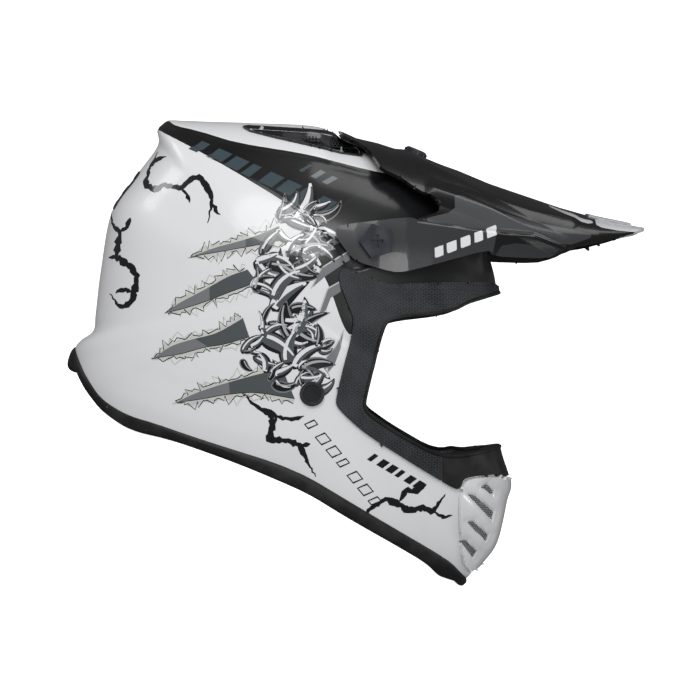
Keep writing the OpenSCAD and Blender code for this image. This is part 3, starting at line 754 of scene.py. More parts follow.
FOAM = Finish("bead_foam", (0.055, 0.055, 0.06), (0.03, 0.03, 0.032), 0.78, Pattern.BEADS, 3.2, 0.35)
LINING = Finish("brushed_lining", (0.028, 0.029, 0.032), (0.012, 0.012, 0.014), 0.9, Pattern.KNIT, 1.1, 0.35, sheen=0.45)
TRIM = Finish("ring_dot_trim", (0.016, 0.017, 0.020), (0.060, 0.064, 0.075), 0.5, Pattern.RINGS, 4.2, 0.25)
RUBBER = Finish("black_rubber", (0.012, 0.012, 0.013), (0.026, 0.026, 0.028), 0.55, Pattern.GRAIN, 0.7, 0.08)
LIP = Finish("port_lip", (0.009, 0.009, 0.010), (0.020, 0.020, 0.022), 0.5, Pattern.GRAIN, 0.9, 0.06)
COVER = Finish("white_cover", (0.80, 0.805, 0.82), (0.72, 0.725, 0.74), 0.25, Pattern.GRAIN, 1.6, 0.02, coat=0.7)
GRILLE = Finish("vent_mesh", (0.06, 0.062, 0.07), (0.20, 0.205, 0.22), 0.4, Pattern.MESH, 2.4, 0.3, metallic=0.8)
SLOT_GRILLE = Finish("slot_mesh", (0.006, 0.006, 0.008), (0.07, 0.071, 0.078), 0.45, Pattern.MESH, 1.6, 0.3, metallic=0.4)
VENT = Finish("vent_plastic", (0.010, 0.010, 0.012), (0.022, 0.022, 0.025), 0.3, Pattern.GRAIN, 0.8, 0.03, coat=0.3)
SCREW = Finish("screw_plastic", (0.018, 0.020, 0.028), (0.045, 0.050, 0.066), 0.4, Pattern.GRAIN, 0.6, 0.05)
KNOB = Finish("knob_plastic", (0.012, 0.012, 0.015), (0.028, 0.029, 0.036), 0.34, Pattern.GRAIN, 0.5, 0.03, coat=0.25)
STEEL = Finish("steel", (0.55, 0.56, 0.58), (0.40, 0.41, 0.43), 0.28, Pattern.BRUSHED, 0.5, 0.02, metallic=1.0)
BRASS = Finish("brass", (0.72, 0.54, 0.25), (0.55, 0.40, 0.18), 0.32, Pattern.BRUSHED, 0.5, 0.02, metallic=1.0)
ALLOY = Finish("anodised_alloy", (0.62, 0.63, 0.66), (0.50, 0.51, 0.54), 0.33, Pattern.BRUSHED, 0.4, 0.02, metallic=1.0)
GUNMETAL = Finish("gunmetal", (0.060, 0.062, 0.070), (0.035, 0.036, 0.040), 0.38, Pattern.BRUSHED, 0.5, 0.03, metallic=0.8)
CAP = Finish("cap_plastic", (0.018, 0.018, 0.020), (0.035, 0.035, 0.038), 0.42, Pattern.GRAIN, 0.8, 0.04)
STUD = Finish("stud_plastic", (0.10, 0.10, 0.11), (0.14, 0.14, 0.15), 0.5, Pattern.GRAIN, 0.8, 0.04)
WEBBING = Finish("webbing", (0.020, 0.020, 0.022), (0.045, 0.045, 0.050), 0.75, Pattern.WEAVE, 1.6, 0.35, sheen=0.2)
STUDIO = Finish("studio_paper", (0.86, 0.86, 0.865), (0.84, 0.84, 0.845), 0.95, Pattern.GRAIN, 4.0, 0.05)


@dataclass(frozen=True)
class Gloss:
    """A clear-coated paint whose colours meet along edges that the piece's points carry.

    Each layer is a value's name, how far inside it begins in millimetres, and its colour; later
    layers cover earlier ones.
    """

    name: str
    colour: tuple[float, float, float]
    layers: tuple[tuple[str, float, tuple[float, float, float]], ...] = ()
    roughness: float = 0.24
    coat: float = 1.0
    coat_roughness: float = 0.05
    grain: float = 1.5
    depth: float = 0.02

    def build(self) -> bpy.types.Material:
        """The material, made once and then shared."""
        if self.name in MADE:
            return MADE[self.name]
        material = MADE[self.name] = bpy.data.materials.new(f"finish_{self.name}")
        material.use_nodes = True
        web = Web(material.node_tree)
        shader = material.node_tree.nodes["Principled BSDF"]
        surface = web.add("ShaderNodeGroup", node_tree=surface_group())
        surface.inputs[0].default_value = 1000.0 / self.grain
        shade = tuple(0.975 * c for c in self.colour)
        base = web.mix(web.math("MULTIPLY", surface.outputs[1], 0.5), (*self.colour, 1.0), (*shade, 1.0))
        for name, start, colour in self.layers:
            share = web.spread(web.value(name), start - 0.12, start + 0.12)
            base = web.mix(share, base, (*colour, 1.0))
        rough = web.math("ADD", self.roughness, web.math("MULTIPLY", surface.outputs[2], 0.10))
        rough = web.math("ADD", rough, web.math("MULTIPLY", surface.outputs[1], 0.06))
        bump = web.add("ShaderNodeBump", {"Height": surface.outputs[0], "Strength": 0.5, "Distance": self.depth * MM})
        for key, value in (("Base Color", base), ("Roughness", rough), ("Normal", bump.outputs[0])):
            web.tree.links.new(value, shader.inputs[key])
        shader.inputs["Coat Weight"].default_value = self.coat
        shader.inputs["Coat Roughness"].default_value = self.coat_roughness
        material.diffuse_color = (*self.colour, 1.0)
        return material


WHITE = (0.80, 0.805, 0.82)
BLACK = (0.006, 0.006, 0.007)
SHELL_PAINT = Gloss("shell_paint", WHITE, (("stripe", 0.0, BLACK), ("brow", 0.0, (0.012, 0.0125, 0.014))),
                    roughness=0.38, coat=0.5, coat_roughness=0.16)
PEAK_PAINT = Gloss(
    "peak_paint", (0.008, 0.008, 0.009),
    # The wing layer is a painted highlight: its lighter grey stands for the lights reflected off that facet of the
    # black peak.
    (("arm", 0.0, (0.042, 0.043, 0.047)), ("wing", 0.0, (0.075, 0.077, 0.082)), ("facet", 0.0, (0.045, 0.046, 0.05)),
     ("flange", 0.0, (0.03, 0.031, 0.034)), ("accent", 0.0, (0.55, 0.56, 0.58)), ("pale", 0.0, (0.62, 0.63, 0.66)),
     ("label", 0.0, (0.78, 0.785, 0.80))),
    roughness=0.26, coat=0.4,
)


def depth_of(outline: Outline, grow: float = 0.0) -> Callable[[Array], Array]:
    """A region's depth at points, from a side-view outline moved outwards by grow."""
    return lambda flat: outline.depth(flat[..., 0], flat[..., 2]) + grow


@dataclass
class Shell:
    """The laminate with its deck, stripe and paint, and the trims along its edges."""

    wall: float = 3.8
    trim_wall: float = 2.0
    stripe: Points = (
        (-108, 132), (-100, 139), (-91, 135), (-86, 130.3), (-66.7, 125.2), (-38.7, 115.5), (15, 106.5), (60, 95), (84, 91), (107, 76),
        (114, 62), (60, 20), (42, 18), (34, 38), (22, 50), (8, 63), (-4, 71.5), (-38, 92.5),
        (-65, 108.5), (-92, 123.5), (-100, 128.5),
    )
    brow: Points = (
        (62, 84), (84, 91.5), (120, 92), (190, 60), (190, -10), (75, 5), (48, -30), (41, -22),
        (30.4, 9.1), (19, 29.6), (14.4, 51.3), (30, 62), (48, 76),
    )

    def skin_region(self) -> Callable[[Array], Array]:
        """Inside the rim, outside the eye port, the vents and the mouth."""
        body = Outline.of([*Lines.rim, (200, -222), (260, 260), (-260, 260), (-260, -20)], 1)
        port, vent, mouth = (Outline.of(p) for p in (PORT_HOLE, Lines.top_vent, Lines.mouth))

        def region(flat: Array) -> Array:
            x, y, z = flat[..., 0], flat[..., 1], flat[..., 2]
            top = np.minimum(vent.depth(x, z) - 2.0, np.abs(y) - 12.5)
            rear = np.minimum(rear_plate(flat) - 3.2, -60.0 - x)
            holes = np.maximum(np.maximum(port.depth(x, z) + 2.6, mouth.depth(x, z)), np.maximum(top, rear))
            return np.minimum(body.depth(x, z) + 4.0, -holes)

        return region

    def relief(self, flat: Array) -> Array:
        """Height over the plain shell: a drop inside the stripe and a soft fold above the roll."""
        x, z = flat[..., 0], flat[..., 2]
        drop = -1.7 * ease(Outline.of(self.stripe, 1).depth(x, z) / 3.0)
        crease = rounded([(-149, -62), (-80, -88), (-25, -101), (30, -112)], 3, closed=False)
        _, gap, share = signed_gap(crease, x, z)
        return drop + 1.3 * np.clip(1.0 - gap / 22.0, 0, 1) * ease(np.minimum(share, 1 - share) * 5 + 0.2)

    def skin(self) -> Mesh:
        """The laminate's outer face, with the values that its paint follows."""
        stripe, brow = Outline.of(self.stripe, 1), Outline.of(self.brow, 2)
        mesh = shell_panel(self.skin_region(), relief=self.relief, step=3.1)
        flat = mesh.uv * 100
        mesh.values["stripe"] = stripe.depth(flat[:, 0], flat[:, 1])
        mesh.values["brow"] = brow.depth(flat[:, 0], flat[:, 1])
        return facing_out(mesh)

    def trim(self, nose: bool) -> Mesh:
        """The strip around the eye port, or its part over the nose."""
        edge, port = Outline.of(Lines.trim, 2), Outline.of(PORT_HOLE)
        guard = Outline.of(((113, -90), (113, -150), (220, -150), (220, -90)), 0)

        def region(flat: Array) -> Array:
            x, z = flat[..., 0], flat[..., 2]
            side = guard.depth(x, z) if nose else -guard.depth(x, z) - 0.3
            return np.minimum(np.minimum(edge.depth(x, z), -port.depth(x, z) - 1.0), side)

        return facing_out(shell_panel(region, out=2.2, step=2.0, span=(-80.0, 40.0)))

    def lip(self) -> Mesh:
        """The bead that folds through the eye port, an oblong of 3.4 by 11 mm with round ends."""
        theta, phi = loop_on_shell(PORT_LOOP, 2.0)
        path, normal = FORM.point(theta, phi), FORM.normal(theta, phi)
        t = np.linspace(0, 2 * math.pi, 18, endpoint=False)
        profile = np.stack([1.5 + 1.7 * bend(np.cos(t), 3.0), -3.0 + 6.0 * bend(np.sin(t), 5.0)], -1)
        return swept(path, normal, profile)

    def roll(self) -> Mesh:
        """The neck roll: a D from the rim to the base line, swept round and cut flat below."""
        theta, phi = loop_on_shell(Lines.rim, 2.5)
        path, normal = FORM.point(theta, phi), FORM.normal(theta, phi)
        base = rounded(Lines.base, 2, closed=False)
        _, height, _ = signed_gap(base, path[:, 0], path[:, 2])
        height = np.clip(height, 8.0, 20.0)
        t = np.linspace(0, 2 * math.pi, 26, endpoint=False)
        across = 0.44 - 0.56 * bend(np.cos(t), 2.8)
        out = -5.2 + 7.7 * bend(np.sin(t), 2.6)
        side = unit(np.cross(unit(np.roll(path, -1, 0) - np.roll(path, 1, 0)), normal))
        rings = path[:, None] + side[:, None] * (across[None] * height[:, None])[..., None] + normal[:, None] * out[None, :, None]
        row = AXES.to_row(rings)
        row[..., 2] = np.maximum(row[..., 2], 0.0)
        n, m = rings.shape[:2]
        return Mesh(AXES.to_head(row).reshape(-1, 3), grid_faces(n, m, True, True))

    def build(self) -> None:
        """Makes every piece of the shell, hides the CAD nodes that they replace, and lays the marks."""
        add_piece("shell_skin", self.skin(), SHELL_PAINT.build(), ["shell"], thickness=self.wall)
        add_piece("port_trim", self.trim(False), TRIM.build(), ["eyeport_trim"], thickness=self.trim_wall, bevel=0.5)
        add_piece("nose_pad", self.trim(True), RUBBER.build(), ["nose_guard"], thickness=self.trim_wall, bevel=0.5)
        add_piece("port_bead", facing_out_tube(self.lip()), LIP.build())
        add_piece("rim_roll", facing_out_tube(self.roll()), RUBBER.build(), ["neck_roll"])
        Marks(self).build()


class Ink(Enum):
    """The colours of the printed marks under the clear coat."""

    DARK = ("dark", (0.010, 0.011, 0.012))
    SLATE = ("slate", (0.085, 0.098, 0.106))
    GREY = ("grey", (0.200, 0.205, 0.220))
    SILVER = ("silver", (0.420, 0.430, 0.450))
    CREAM = ("cream", (0.620, 0.620, 0.585))
    WHITE = ("white", (0.800, 0.805, 0.820))
    STEEL_BLUE = ("steel_blue", (0.052, 0.078, 0.090))

    def finish(self) -> "Gloss":
        """The ink under clear coat."""
        return Gloss(f"ink_{self.value[0]}", self.value[1])


@dataclass
class Marks:
    """Printed marks: torn slashes, splinters, cracks, fringes and plain bars.

    Each mark is a strip between two side-view lines with the same number of points, laid on the
    shell just above its paint.
    """

    shell: Shell
    strips: dict[Ink, list[Mesh]] = field(default_factory=dict)

    slashes: tuple[tuple[Points, Points], ...] = (
        (((-70.5, 30.2), (-51.7, 37.1), (-33.4, 41.6), (-19.8, 46.2), (-6.1, 52.4)),
         ((-70.5, 30.2), (-47.1, 34.0), (-33.4, 36.5), (-18.6, 39.0), (-3.8, 42.2))),
        (((-88.7, -10.8), (-80.2, -4.0), (-60.8, 5.7), (-42.6, 16.0), (-28.9, 20.5)),
         ((-88.7, -10.8), (-74.5, -7.4), (-60.8, -3.2), (-42.6, 4.0), (-22.0, 11.4))),
        (((-97.9, -43.9), (-85.9, -35.3), (-72.2, -30.8), (-51.7, -26.2), (-32.3, -14.8)),
         ((-97.9, -43.9), (-77.9, -41.0), (-60.8, -35.9), (-47.1, -34.2), (-27.7, -28.5))),
        (((-81.9, -76.4), (-67.6, -69.5), (-47.1, -62.7), (-26.6, -57.0), (-3.8, -51.3)),
         ((-81.9, -76.4), (-60.8, -73.5), (-47.1, -70.7), (-24.3, -68.4), (5.3, -73.5))),
    )
    bands: tuple[Points, ...] = (
        ((34.4, 44.5), (22.4, 34.8), (24.1, 32.5), (40.7, 42.2)),
        ((45.6, 34.8), (24.7, 21.7), (17.3, 6.8), (28.1, 16.0), (45.6, 27.9)),
        ((37.8, 11.4), (29.3, 6.8), (20.7, -17.7), (28.1, -9.1), (31.5, 0.0), (39.0, 4.6)),
        ((41.1, -23.4), (35.0, -35.3), (28.1, -43.3), (29.3, -54.7), (34.2, -49.0), (38.8, -36.5)),
    )
    cracks: tuple[tuple[float, Points], ...] = (
        (2.4, ((-98.0, 110.2), (-104.1, 98.8), (-106.4, 85.1), (-100.3, 80.6), (-91.2, 83.6), (-79.0, 81.3),
               (-68.4, 89.7), (-63.8, 88.2), (-57.8, 79.0), (-55.5, 69.9), (-58.5, 54.7))),
        (1.6, ((-104.1, 98.8), (-98.8, 104.1), (-91, 106))),
        (1.4, ((-79.0, 81.3), (-73.7, 76.1), (-72, 70))),
        (1.4, ((-55.5, 69.9), (-51.7, 62.8), (-49, 61))),
        (2.8, ((-134.5, 66), (-131.8, 56), (-125.4, 49.8), (-127.7, 31.6), (-117.8, 24.8), (-111.0, 16.7),
               (-115.5, -3.8), (-125.4, -6.1), (-133.0, 3.8))),
        (1.8, ((-125.4, 49.8), (-119.1, 53.6), (-117, 60))),
        (1.4, ((-127.7, 31.6), (-134.5, 30.9))),
        (1.6, ((-114, 4), (-121, 7), (-128, 4))),
        (2.6, ((-34.4, -68.7), (-21.3, -79.8), (-9.9, -85.9), (-13.7, -104.1), (0.0, -103.4), (8.4, -107.2),
               (12.9, -116.3), (20.5, -130.7))),
        (1.8, ((-9.9, -85.9), (4.0, -89.2), (12, -86))),
        (1.4, ((8.4, -107.2), (16.7, -106.4))),
        (2.8, ((54, -163), (58.5, -155.8), (71.4, -147.4), (80.6, -150.5), (88.9, -156.6), (98.8, -154.3),
               (107.2, -157.3), (109.4, -153.5), (116.0, -144.4))),
        (2.0, ((80.6, -150.5), (86.6, -141.4), (95.0, -141.4), (102, -137))),
        (1.6, ((107.2, -157.3), (114.0, -162.0), (121.3, -160.4))),
    )
    bursts: tuple[tuple[float, float, float, float], ...] = (
        (-8, 58, 34, 18), (6, 50, 38, 8), (14, 62, 30, 4), (-22, 30, 34, 26), (-6, 26, 44, 14),
        (8, 34, 34, 12), (-28, 6, 26, 40), (-22, -24, 34, 32), (-6, -12, 44, 20), (2, -30, 34, 60),
        (-14, -58, 26, 40), (6, -52, 36, 30), (10, -66, 26, 40), (20, -36, 22, 60), (-30, -40, 26, 10),
    )

    def lay(self, ink: Ink, upper: Points, lower: Points, step: float = 2.5, lift: float = 0.0) -> None:
        """Adds the strip between two lines, points to points, on both sides of the shell."""
        a, b = np.asarray(upper, float), np.asarray(lower, float)
        size = max(np.ptp(a[:, 0]) + np.ptp(a[:, 1]), 3.0)
        share = np.unique(np.concatenate([np.linspace(0, 1, int(size / step) + 2), np.linspace(0, 1, len(a))]))
        at = np.linspace(0, 1, len(a))
        up = np.stack([np.interp(share, at, a[:, k]) for k in (0, 1)], -1)
        at = np.linspace(0, 1, len(b))
        low = np.stack([np.interp(share, at, b[:, k]) for k in (0, 1)], -1)
        wide = max(int(np.max(np.linalg.norm(up - low, axis=1)) / 3.0) + 2, 2)
        t = np.linspace(0, 1, wide)[None, :, None]
        flat = up[:, None] * (1 - t) + low[:, None] * t
        theta, phi = FORM.angles(flat[..., 0], flat[..., 1])
        base = FORM.point(theta, phi)
        height = self.shell.relief(base) + 0.12 + lift
        points = base + FORM.normal(theta, phi) * height[..., None]
        mesh = facing_out(Mesh(points.reshape(-1, 3), grid_faces(len(share), wide)))
        self.strips.setdefault(ink, []).extend([mesh, mirrored(mesh)])

    def zigzag(self, line: Array, rng: np.random.Generator, pitch: float, low: float, high: float) -> tuple[Array, Array]:
        """A jagged line beside another: points every pitch, pushed off by low and high in turn."""
        fine = resampled(line, pitch)
        ahead = unit(np.gradient(fine, axis=0))
        side = np.stack([-ahead[:, 1], ahead[:, 0]], -1)
        turn = np.where(np.arange(len(fine)) % 2 == 0, low, high) * rng.uniform(0.15, 1.35, len(fine))
        drift = ahead * rng.uniform(-0.9, 0.9, len(fine))[:, None] * pitch
        fade = np.clip(np.arange(len(fine)) / 5.0, 0.15, 1.0)
        return fine, fine + side * (turn * fade)[:, None] + drift

    def line(self, ink: Ink, path: Array, width: Array | float, lift: float = 0.0) -> None:
        """Adds a line of a given width along a path."""
        ahead = unit(np.gradient(path, axis=0))
        side = np.stack([-ahead[:, 1], ahead[:, 0]], -1) * (np.broadcast_to(width, len(path)) / 2)[:, None]
        self.lay(ink, path + side, path - side, 1.5, lift)

    def tear(self, rng: np.random.Generator) -> None:
        """The slashes: a slate wedge that fades to grey, with torn cream and dark edges."""
        for upper, lower in self.slashes:
            up, low = rounded(upper, 2, False), rounded(lower, 2, False)
            up, low = (np.stack([np.interp(np.linspace(0, 1, 30), np.linspace(0, 1, len(e)), e[:, k]) for k in (0, 1)], -1) for e in (up, low))
            for edge, way in ((up, 1.0), (low, -1.0)):
                base, torn = self.zigzag(edge, rng, 2.4, 2.2 * way, 5.6 * way)
                self.lay(Ink.CREAM, base, base * 0.35 + torn * 0.65, 2.5, 0.02)
                self.line(Ink.DARK, torn, 0.7, 0.05)
                _, outer = self.zigzag(edge, rng, 3.1, 3.2 * way, 6.8 * way)
                self.line(Ink.CREAM, outer, 0.9, 0.03)
            self.lay(Ink.GREY, up[:17], low[:17], 2.5, 0.06)
            self.lay(Ink.SLATE, up[16:], low[16:], 2.5, 0.06)
            self.line(Ink.DARK, low[3:], 0.5, 0.08)

    def splinter(self, rng: np.random.Generator) -> None:
        """Clusters of curled splinters: dark shapes that fan out from a middle, lighter inside."""
        share = np.linspace(0, 1, 15)
        shapes = (
            ((Ink.DARK, 1.0, 0.0), (Ink.WHITE, 0.62, 0.10), (Ink.SLATE, 0.26, -0.08)),
            ((Ink.DARK, 1.0, 0.0), (Ink.SLATE, 0.70, 0.04), (Ink.WHITE, 0.20, 0.16)),
            ((Ink.GREY, 1.0, 0.0), (Ink.DARK, 0.74, 0.02), (Ink.SILVER, 0.16, 0.18)),
        )
        for place, (x, z, size, heading) in enumerate(self.bursts):
            for k in range(6):
                long = size * rng.uniform(0.45, 1.05)
                wide = long * rng.uniform(0.22, 0.42)
                curl = rng.choice((-1.0, 1.0)) * rng.uniform(0.5, 2.0)
                turn = math.radians(heading + (k - 3) * 23 + rng.uniform(-12, 12)) + curl * (share - 0.4)
                ahead = np.stack([np.cos(turn), np.sin(turn)], -1)
                start = np.array([x, z]) + rng.uniform(-0.16, 0.16, 2) * size
                path = start + np.cumsum(ahead, 0) * long / len(share)
                side = np.stack([-ahead[:, 1], ahead[:, 0]], -1)
                belly = np.sin(math.pi * share ** 0.6) ** 0.8 + 0.02
                for level, (ink, part, shift) in enumerate(shapes[(place + k) % 3]):
                    inner = slice(level, len(share) - level)
                    line = path + side * (shift * wide * belly)[:, None]
                    self.line(ink, line[inner], (wide * part * belly)[inner], 0.10 + 0.02 * level + 0.001 * k)

    def crack(self, rng: np.random.Generator) -> None:
        """Cracks: dark lines that taper at both ends, and wander a little."""
        for width, points in self.cracks:
            path = resampled(np.asarray(points, float), 2.2)
            path[1:-1] += rng.uniform(-0.7, 0.7, (len(path) - 2, 2))
            share = np.linspace(0, 1, len(path))
            taper = np.minimum(1.0, np.minimum(share, 1 - share) * 4) * rng.uniform(0.45, 1.15, len(path))
            wide = 0.5 + 1.9 * width * taper
            self.line(Ink.DARK, path, wide, 0.02)

    def bars(self, ink: Ink, start: Points, end: Points, count: int, height: float, lean: float, fill: float, hollow: float = 0.0) -> None:
        """A row of slanted bars between two places, leaning forward by lean times their height."""
        a, b = np.asarray(start, float), np.asarray(end, float)
        step = (b - a) / count
        along, up = unit(step), np.array([-unit(step)[1], unit(step)[0]])
        for k in range(count):
            corner = a + step * k
            wide = step * fill * (1.0 if k % 3 else 0.62)
            top = corner + up * height + along * lean * height
            self.lay(ink, (top, top + wide), (corner, corner + wide), 3.0, 0.02)
            if hollow:
                inset = along * hollow * 1.3 + up * hollow
                back = along * hollow * 1.3 - up * hollow
                self.lay(Ink.WHITE, (top + back, top + wide - inset), (corner + inset, corner + wide - back), 3.0, 0.04)

    def build(self) -> None:
        """Lays all the marks and makes one piece of each ink."""
        rng = np.random.default_rng(7)
        self.tear(rng)
        for points in self.bands:
            n = len(points) // 2
            upper, lower = points[: n + 1], points[: n - 1 : -1]
            self.lay(Ink.GREY, upper, lower, 2.5, 0.04)
            self.line(Ink.CREAM, resampled(np.asarray(upper, float), 2.0), 0.9, 0.08)
        self.splinter(rng)
        self.crack(rng)
        self.bars(Ink.STEEL_BLUE, (-74, 111), (30, 62), 8, 11.0, 0.5, 0.78)
        self.bars(Ink.STEEL_BLUE, (8, 95), (34, 82), 3, 8.0, 0.6, 0.45)
        self.bars(Ink.DARK, (12, -92), (66, -158), 7, 8.0, 0.25, 0.66, 0.8)
        self.bars(Ink.DARK, (58, -118), (98, -142), 6, 6.5, 0.4, 0.70)
        for ink, meshes in self.strips.items():
            add_piece(f"mark_{ink.value[0]}", joined(*meshes), ink.finish().build())


def rear_plate(flat: Array) -> Array:
    """Depth inside the rear vent's plate, an oblong of 34 by 78 mm with round corners."""
    s = (flat[..., 0] + 125) * 0.6157 + (flat[..., 2] - 84) * 0.788
    return 4 - np.hypot(np.maximum(np.abs(s) - 13, 0), np.maximum(np.abs(flat[..., 1]) - 35, 0))


PORT_HOLE: Points = (
    (200, 8), (157, 4), (134, -3), (119, -11), (75, -16), (70, -23), (57, -75), (58, -82),
    (76, -95), (112, -116), (148, -112), (200, -108),
)
PORT_LOOP: Points = (
    (157.2, 4), (134, -3), (119, -11), (75, -16), (70, -23), (57, -75), (58, -82), (76, -95),
    (112, -116), (148, -112), (157, -109.5),
)


def facing_out_tube(mesh: Mesh) -> Mesh:
    """A closed tube's mesh with its faces turned outwards, judged by its signed volume."""
    quad = mesh.points[mesh.faces]
    volume = np.sum(np.cross(quad[:, 0], quad[:, 1]) * quad[:, 2]) + np.sum(np.cross(quad[:, 0], quad[:, 2]) * quad[:, 3])
    if volume < 0:
        return Mesh(mesh.points, mesh.faces[:, ::-1], mesh.values, mesh.uv)
    return mesh


@dataclass
class Vents:
    """The chin bar's cover, the two top vents and the rear vent."""

    slots: tuple[Points, ...] = (
        ((141.6, -139.6), (146.4, -137.0), (151.8, -142.6), (151.2, -146.4)),
        ((130.2, -143.6), (138.0, -145.6), (152.2, -158.6), (150.8, -166.0)),
        ((131.4, -164.8), (136.4, -164.6), (148.4, -176.0), (146.4, -181.2)),
        ((125.6, -179.2), (131.0, -179.0), (139.8, -187.8), (136.8, -193.0)),
    )

    def cover(self) -> Mesh:
        """The white cover over the mouth, with four slanted slots on each side."""
        edge = Outline.of(Lines.chin_cover, 2)
        holes = [Outline.of(p, 0) for p in self.slots]

        def region(flat: Array) -> Array:
            return edge.depth(flat[..., 0], flat[..., 2]) - 0.3

        def relief(flat: Array) -> Array:
            x, z = flat[..., 0], flat[..., 2]
            near = np.max([h.depth(x, z) for h in holes], axis=0)
            return -0.8 * ease((near + 5.0) / 4.0) - 1.8 * ease((near + 0.6) / 1.2)

        return facing_out(shell_panel(region, out=3.0, relief=relief, step=0.95, span=(-62.0, -36.0)))

    def grilles(self) -> Mesh:
        """A piece of mesh in each of the cover's slots, on both sides."""
        share = np.linspace(0, 1, 9)[:, None, None]
        meshes = []
        for a, b, c, d in np.asarray(self.slots):
            t = np.linspace(0, 1, 5)[None, :, None]
            flat = (a * (1 - share) + b * share) * (1 - t) + (d * (1 - share) + c * share) * t
            theta, phi = FORM.angles(flat[..., 0], flat[..., 1])
            mesh = facing_out(Mesh(FORM.point(theta, phi, 1.3).reshape(-1, 3), grid_faces(9, 5)))
            meshes += [mesh, mirrored(mesh)]
        return joined(*meshes)

    def top(self) -> Mesh:
        """A top vent, dished 3 mm towards its middle."""
        edge = Outline.of(Lines.top_vent, 1)
        windows = [Outline.of(p, 2) for p in (
            ((-8, 125), (8, 124.6), (20, 118.5), (6, 119.5)), ((20, 124.5), (35, 123.5), (45, 113.5), (32, 115)))]

        def region(flat: Array) -> Array:
            return np.minimum(edge.depth(flat[..., 0], flat[..., 2]), flat[..., 1] - 12.3)

        mesh = shell_panel(
            region, out=1.4, step=1.6, span=(55.0, 110.0),
            relief=lambda flat: -4.2 * ease(region(flat) / 5.0),
        )
        flat = mesh.uv * 100
        mesh.values["window"] = np.max([w.depth(flat[:, 0], flat[:, 1]) for w in windows], axis=0)
        return facing_out(mesh)

    def rear(self) -> Mesh:
        """The rear vent, a plate of 34 by 78 mm with two long slots."""

        def region(flat: Array) -> Array:
            s = (flat[..., 0] + 125) * 0.6157 + (flat[..., 2] - 84) * 0.788
            slot = [2 - np.hypot(np.maximum(np.abs(s - c) - 1.5, 0), np.maximum(np.abs(flat[..., 1]) - 27, 0)) for c in (-7, 7)]
            return np.minimum(rear_plate(flat), -np.maximum(*slot))

        return facing_out(shell_panel(region, out=0.45, step=1.3, span=(115.0, 178.0)))

    def build(self) -> None:
        """Makes the vents and dresses their meshes."""
        add_piece("chin_cover", self.cover(), COVER.build(), ["chin_vent"], thickness=2.6, bevel=0.7)
        add_piece("slot_grilles", self.grilles(), SLOT_GRILLE.build())
        mesh = self.top()
        top_paint = Gloss("vent_gloss", (0.010, 0.010, 0.012), (("window", 0.0, (0.035, 0.036, 0.04)),), grain=0.8)
        add_piece("top_vent_left", mesh, top_paint.build(), ["top_vent_l"], thickness=2.0, bevel=0.5)
        add_piece("top_vent_right", mirrored(mesh), top_paint.build(), ["top_vent_r"], thickness=2.0, bevel=0.5)
        add_piece("rear_vent_plate", self.rear(), VENT.build(), ["rear_vent"], thickness=2.0, bevel=0.5)
        for node in ("top_mesh_l", "top_mesh_r", "chin_mesh"):
            dress(node, GRILLE)


def dress(node: str, finish: Finish | Gloss) -> None:
    """Gives a CAD node that stays a finish of its own."""
    obj = bpy.data.objects[node]
    material = finish.build()
    for slot in obj.material_slots:
        slot.material = material
    if not obj.material_slots:
        obj.data.materials.append(material)
    LOG.info("%s: %s", node, finish.name)


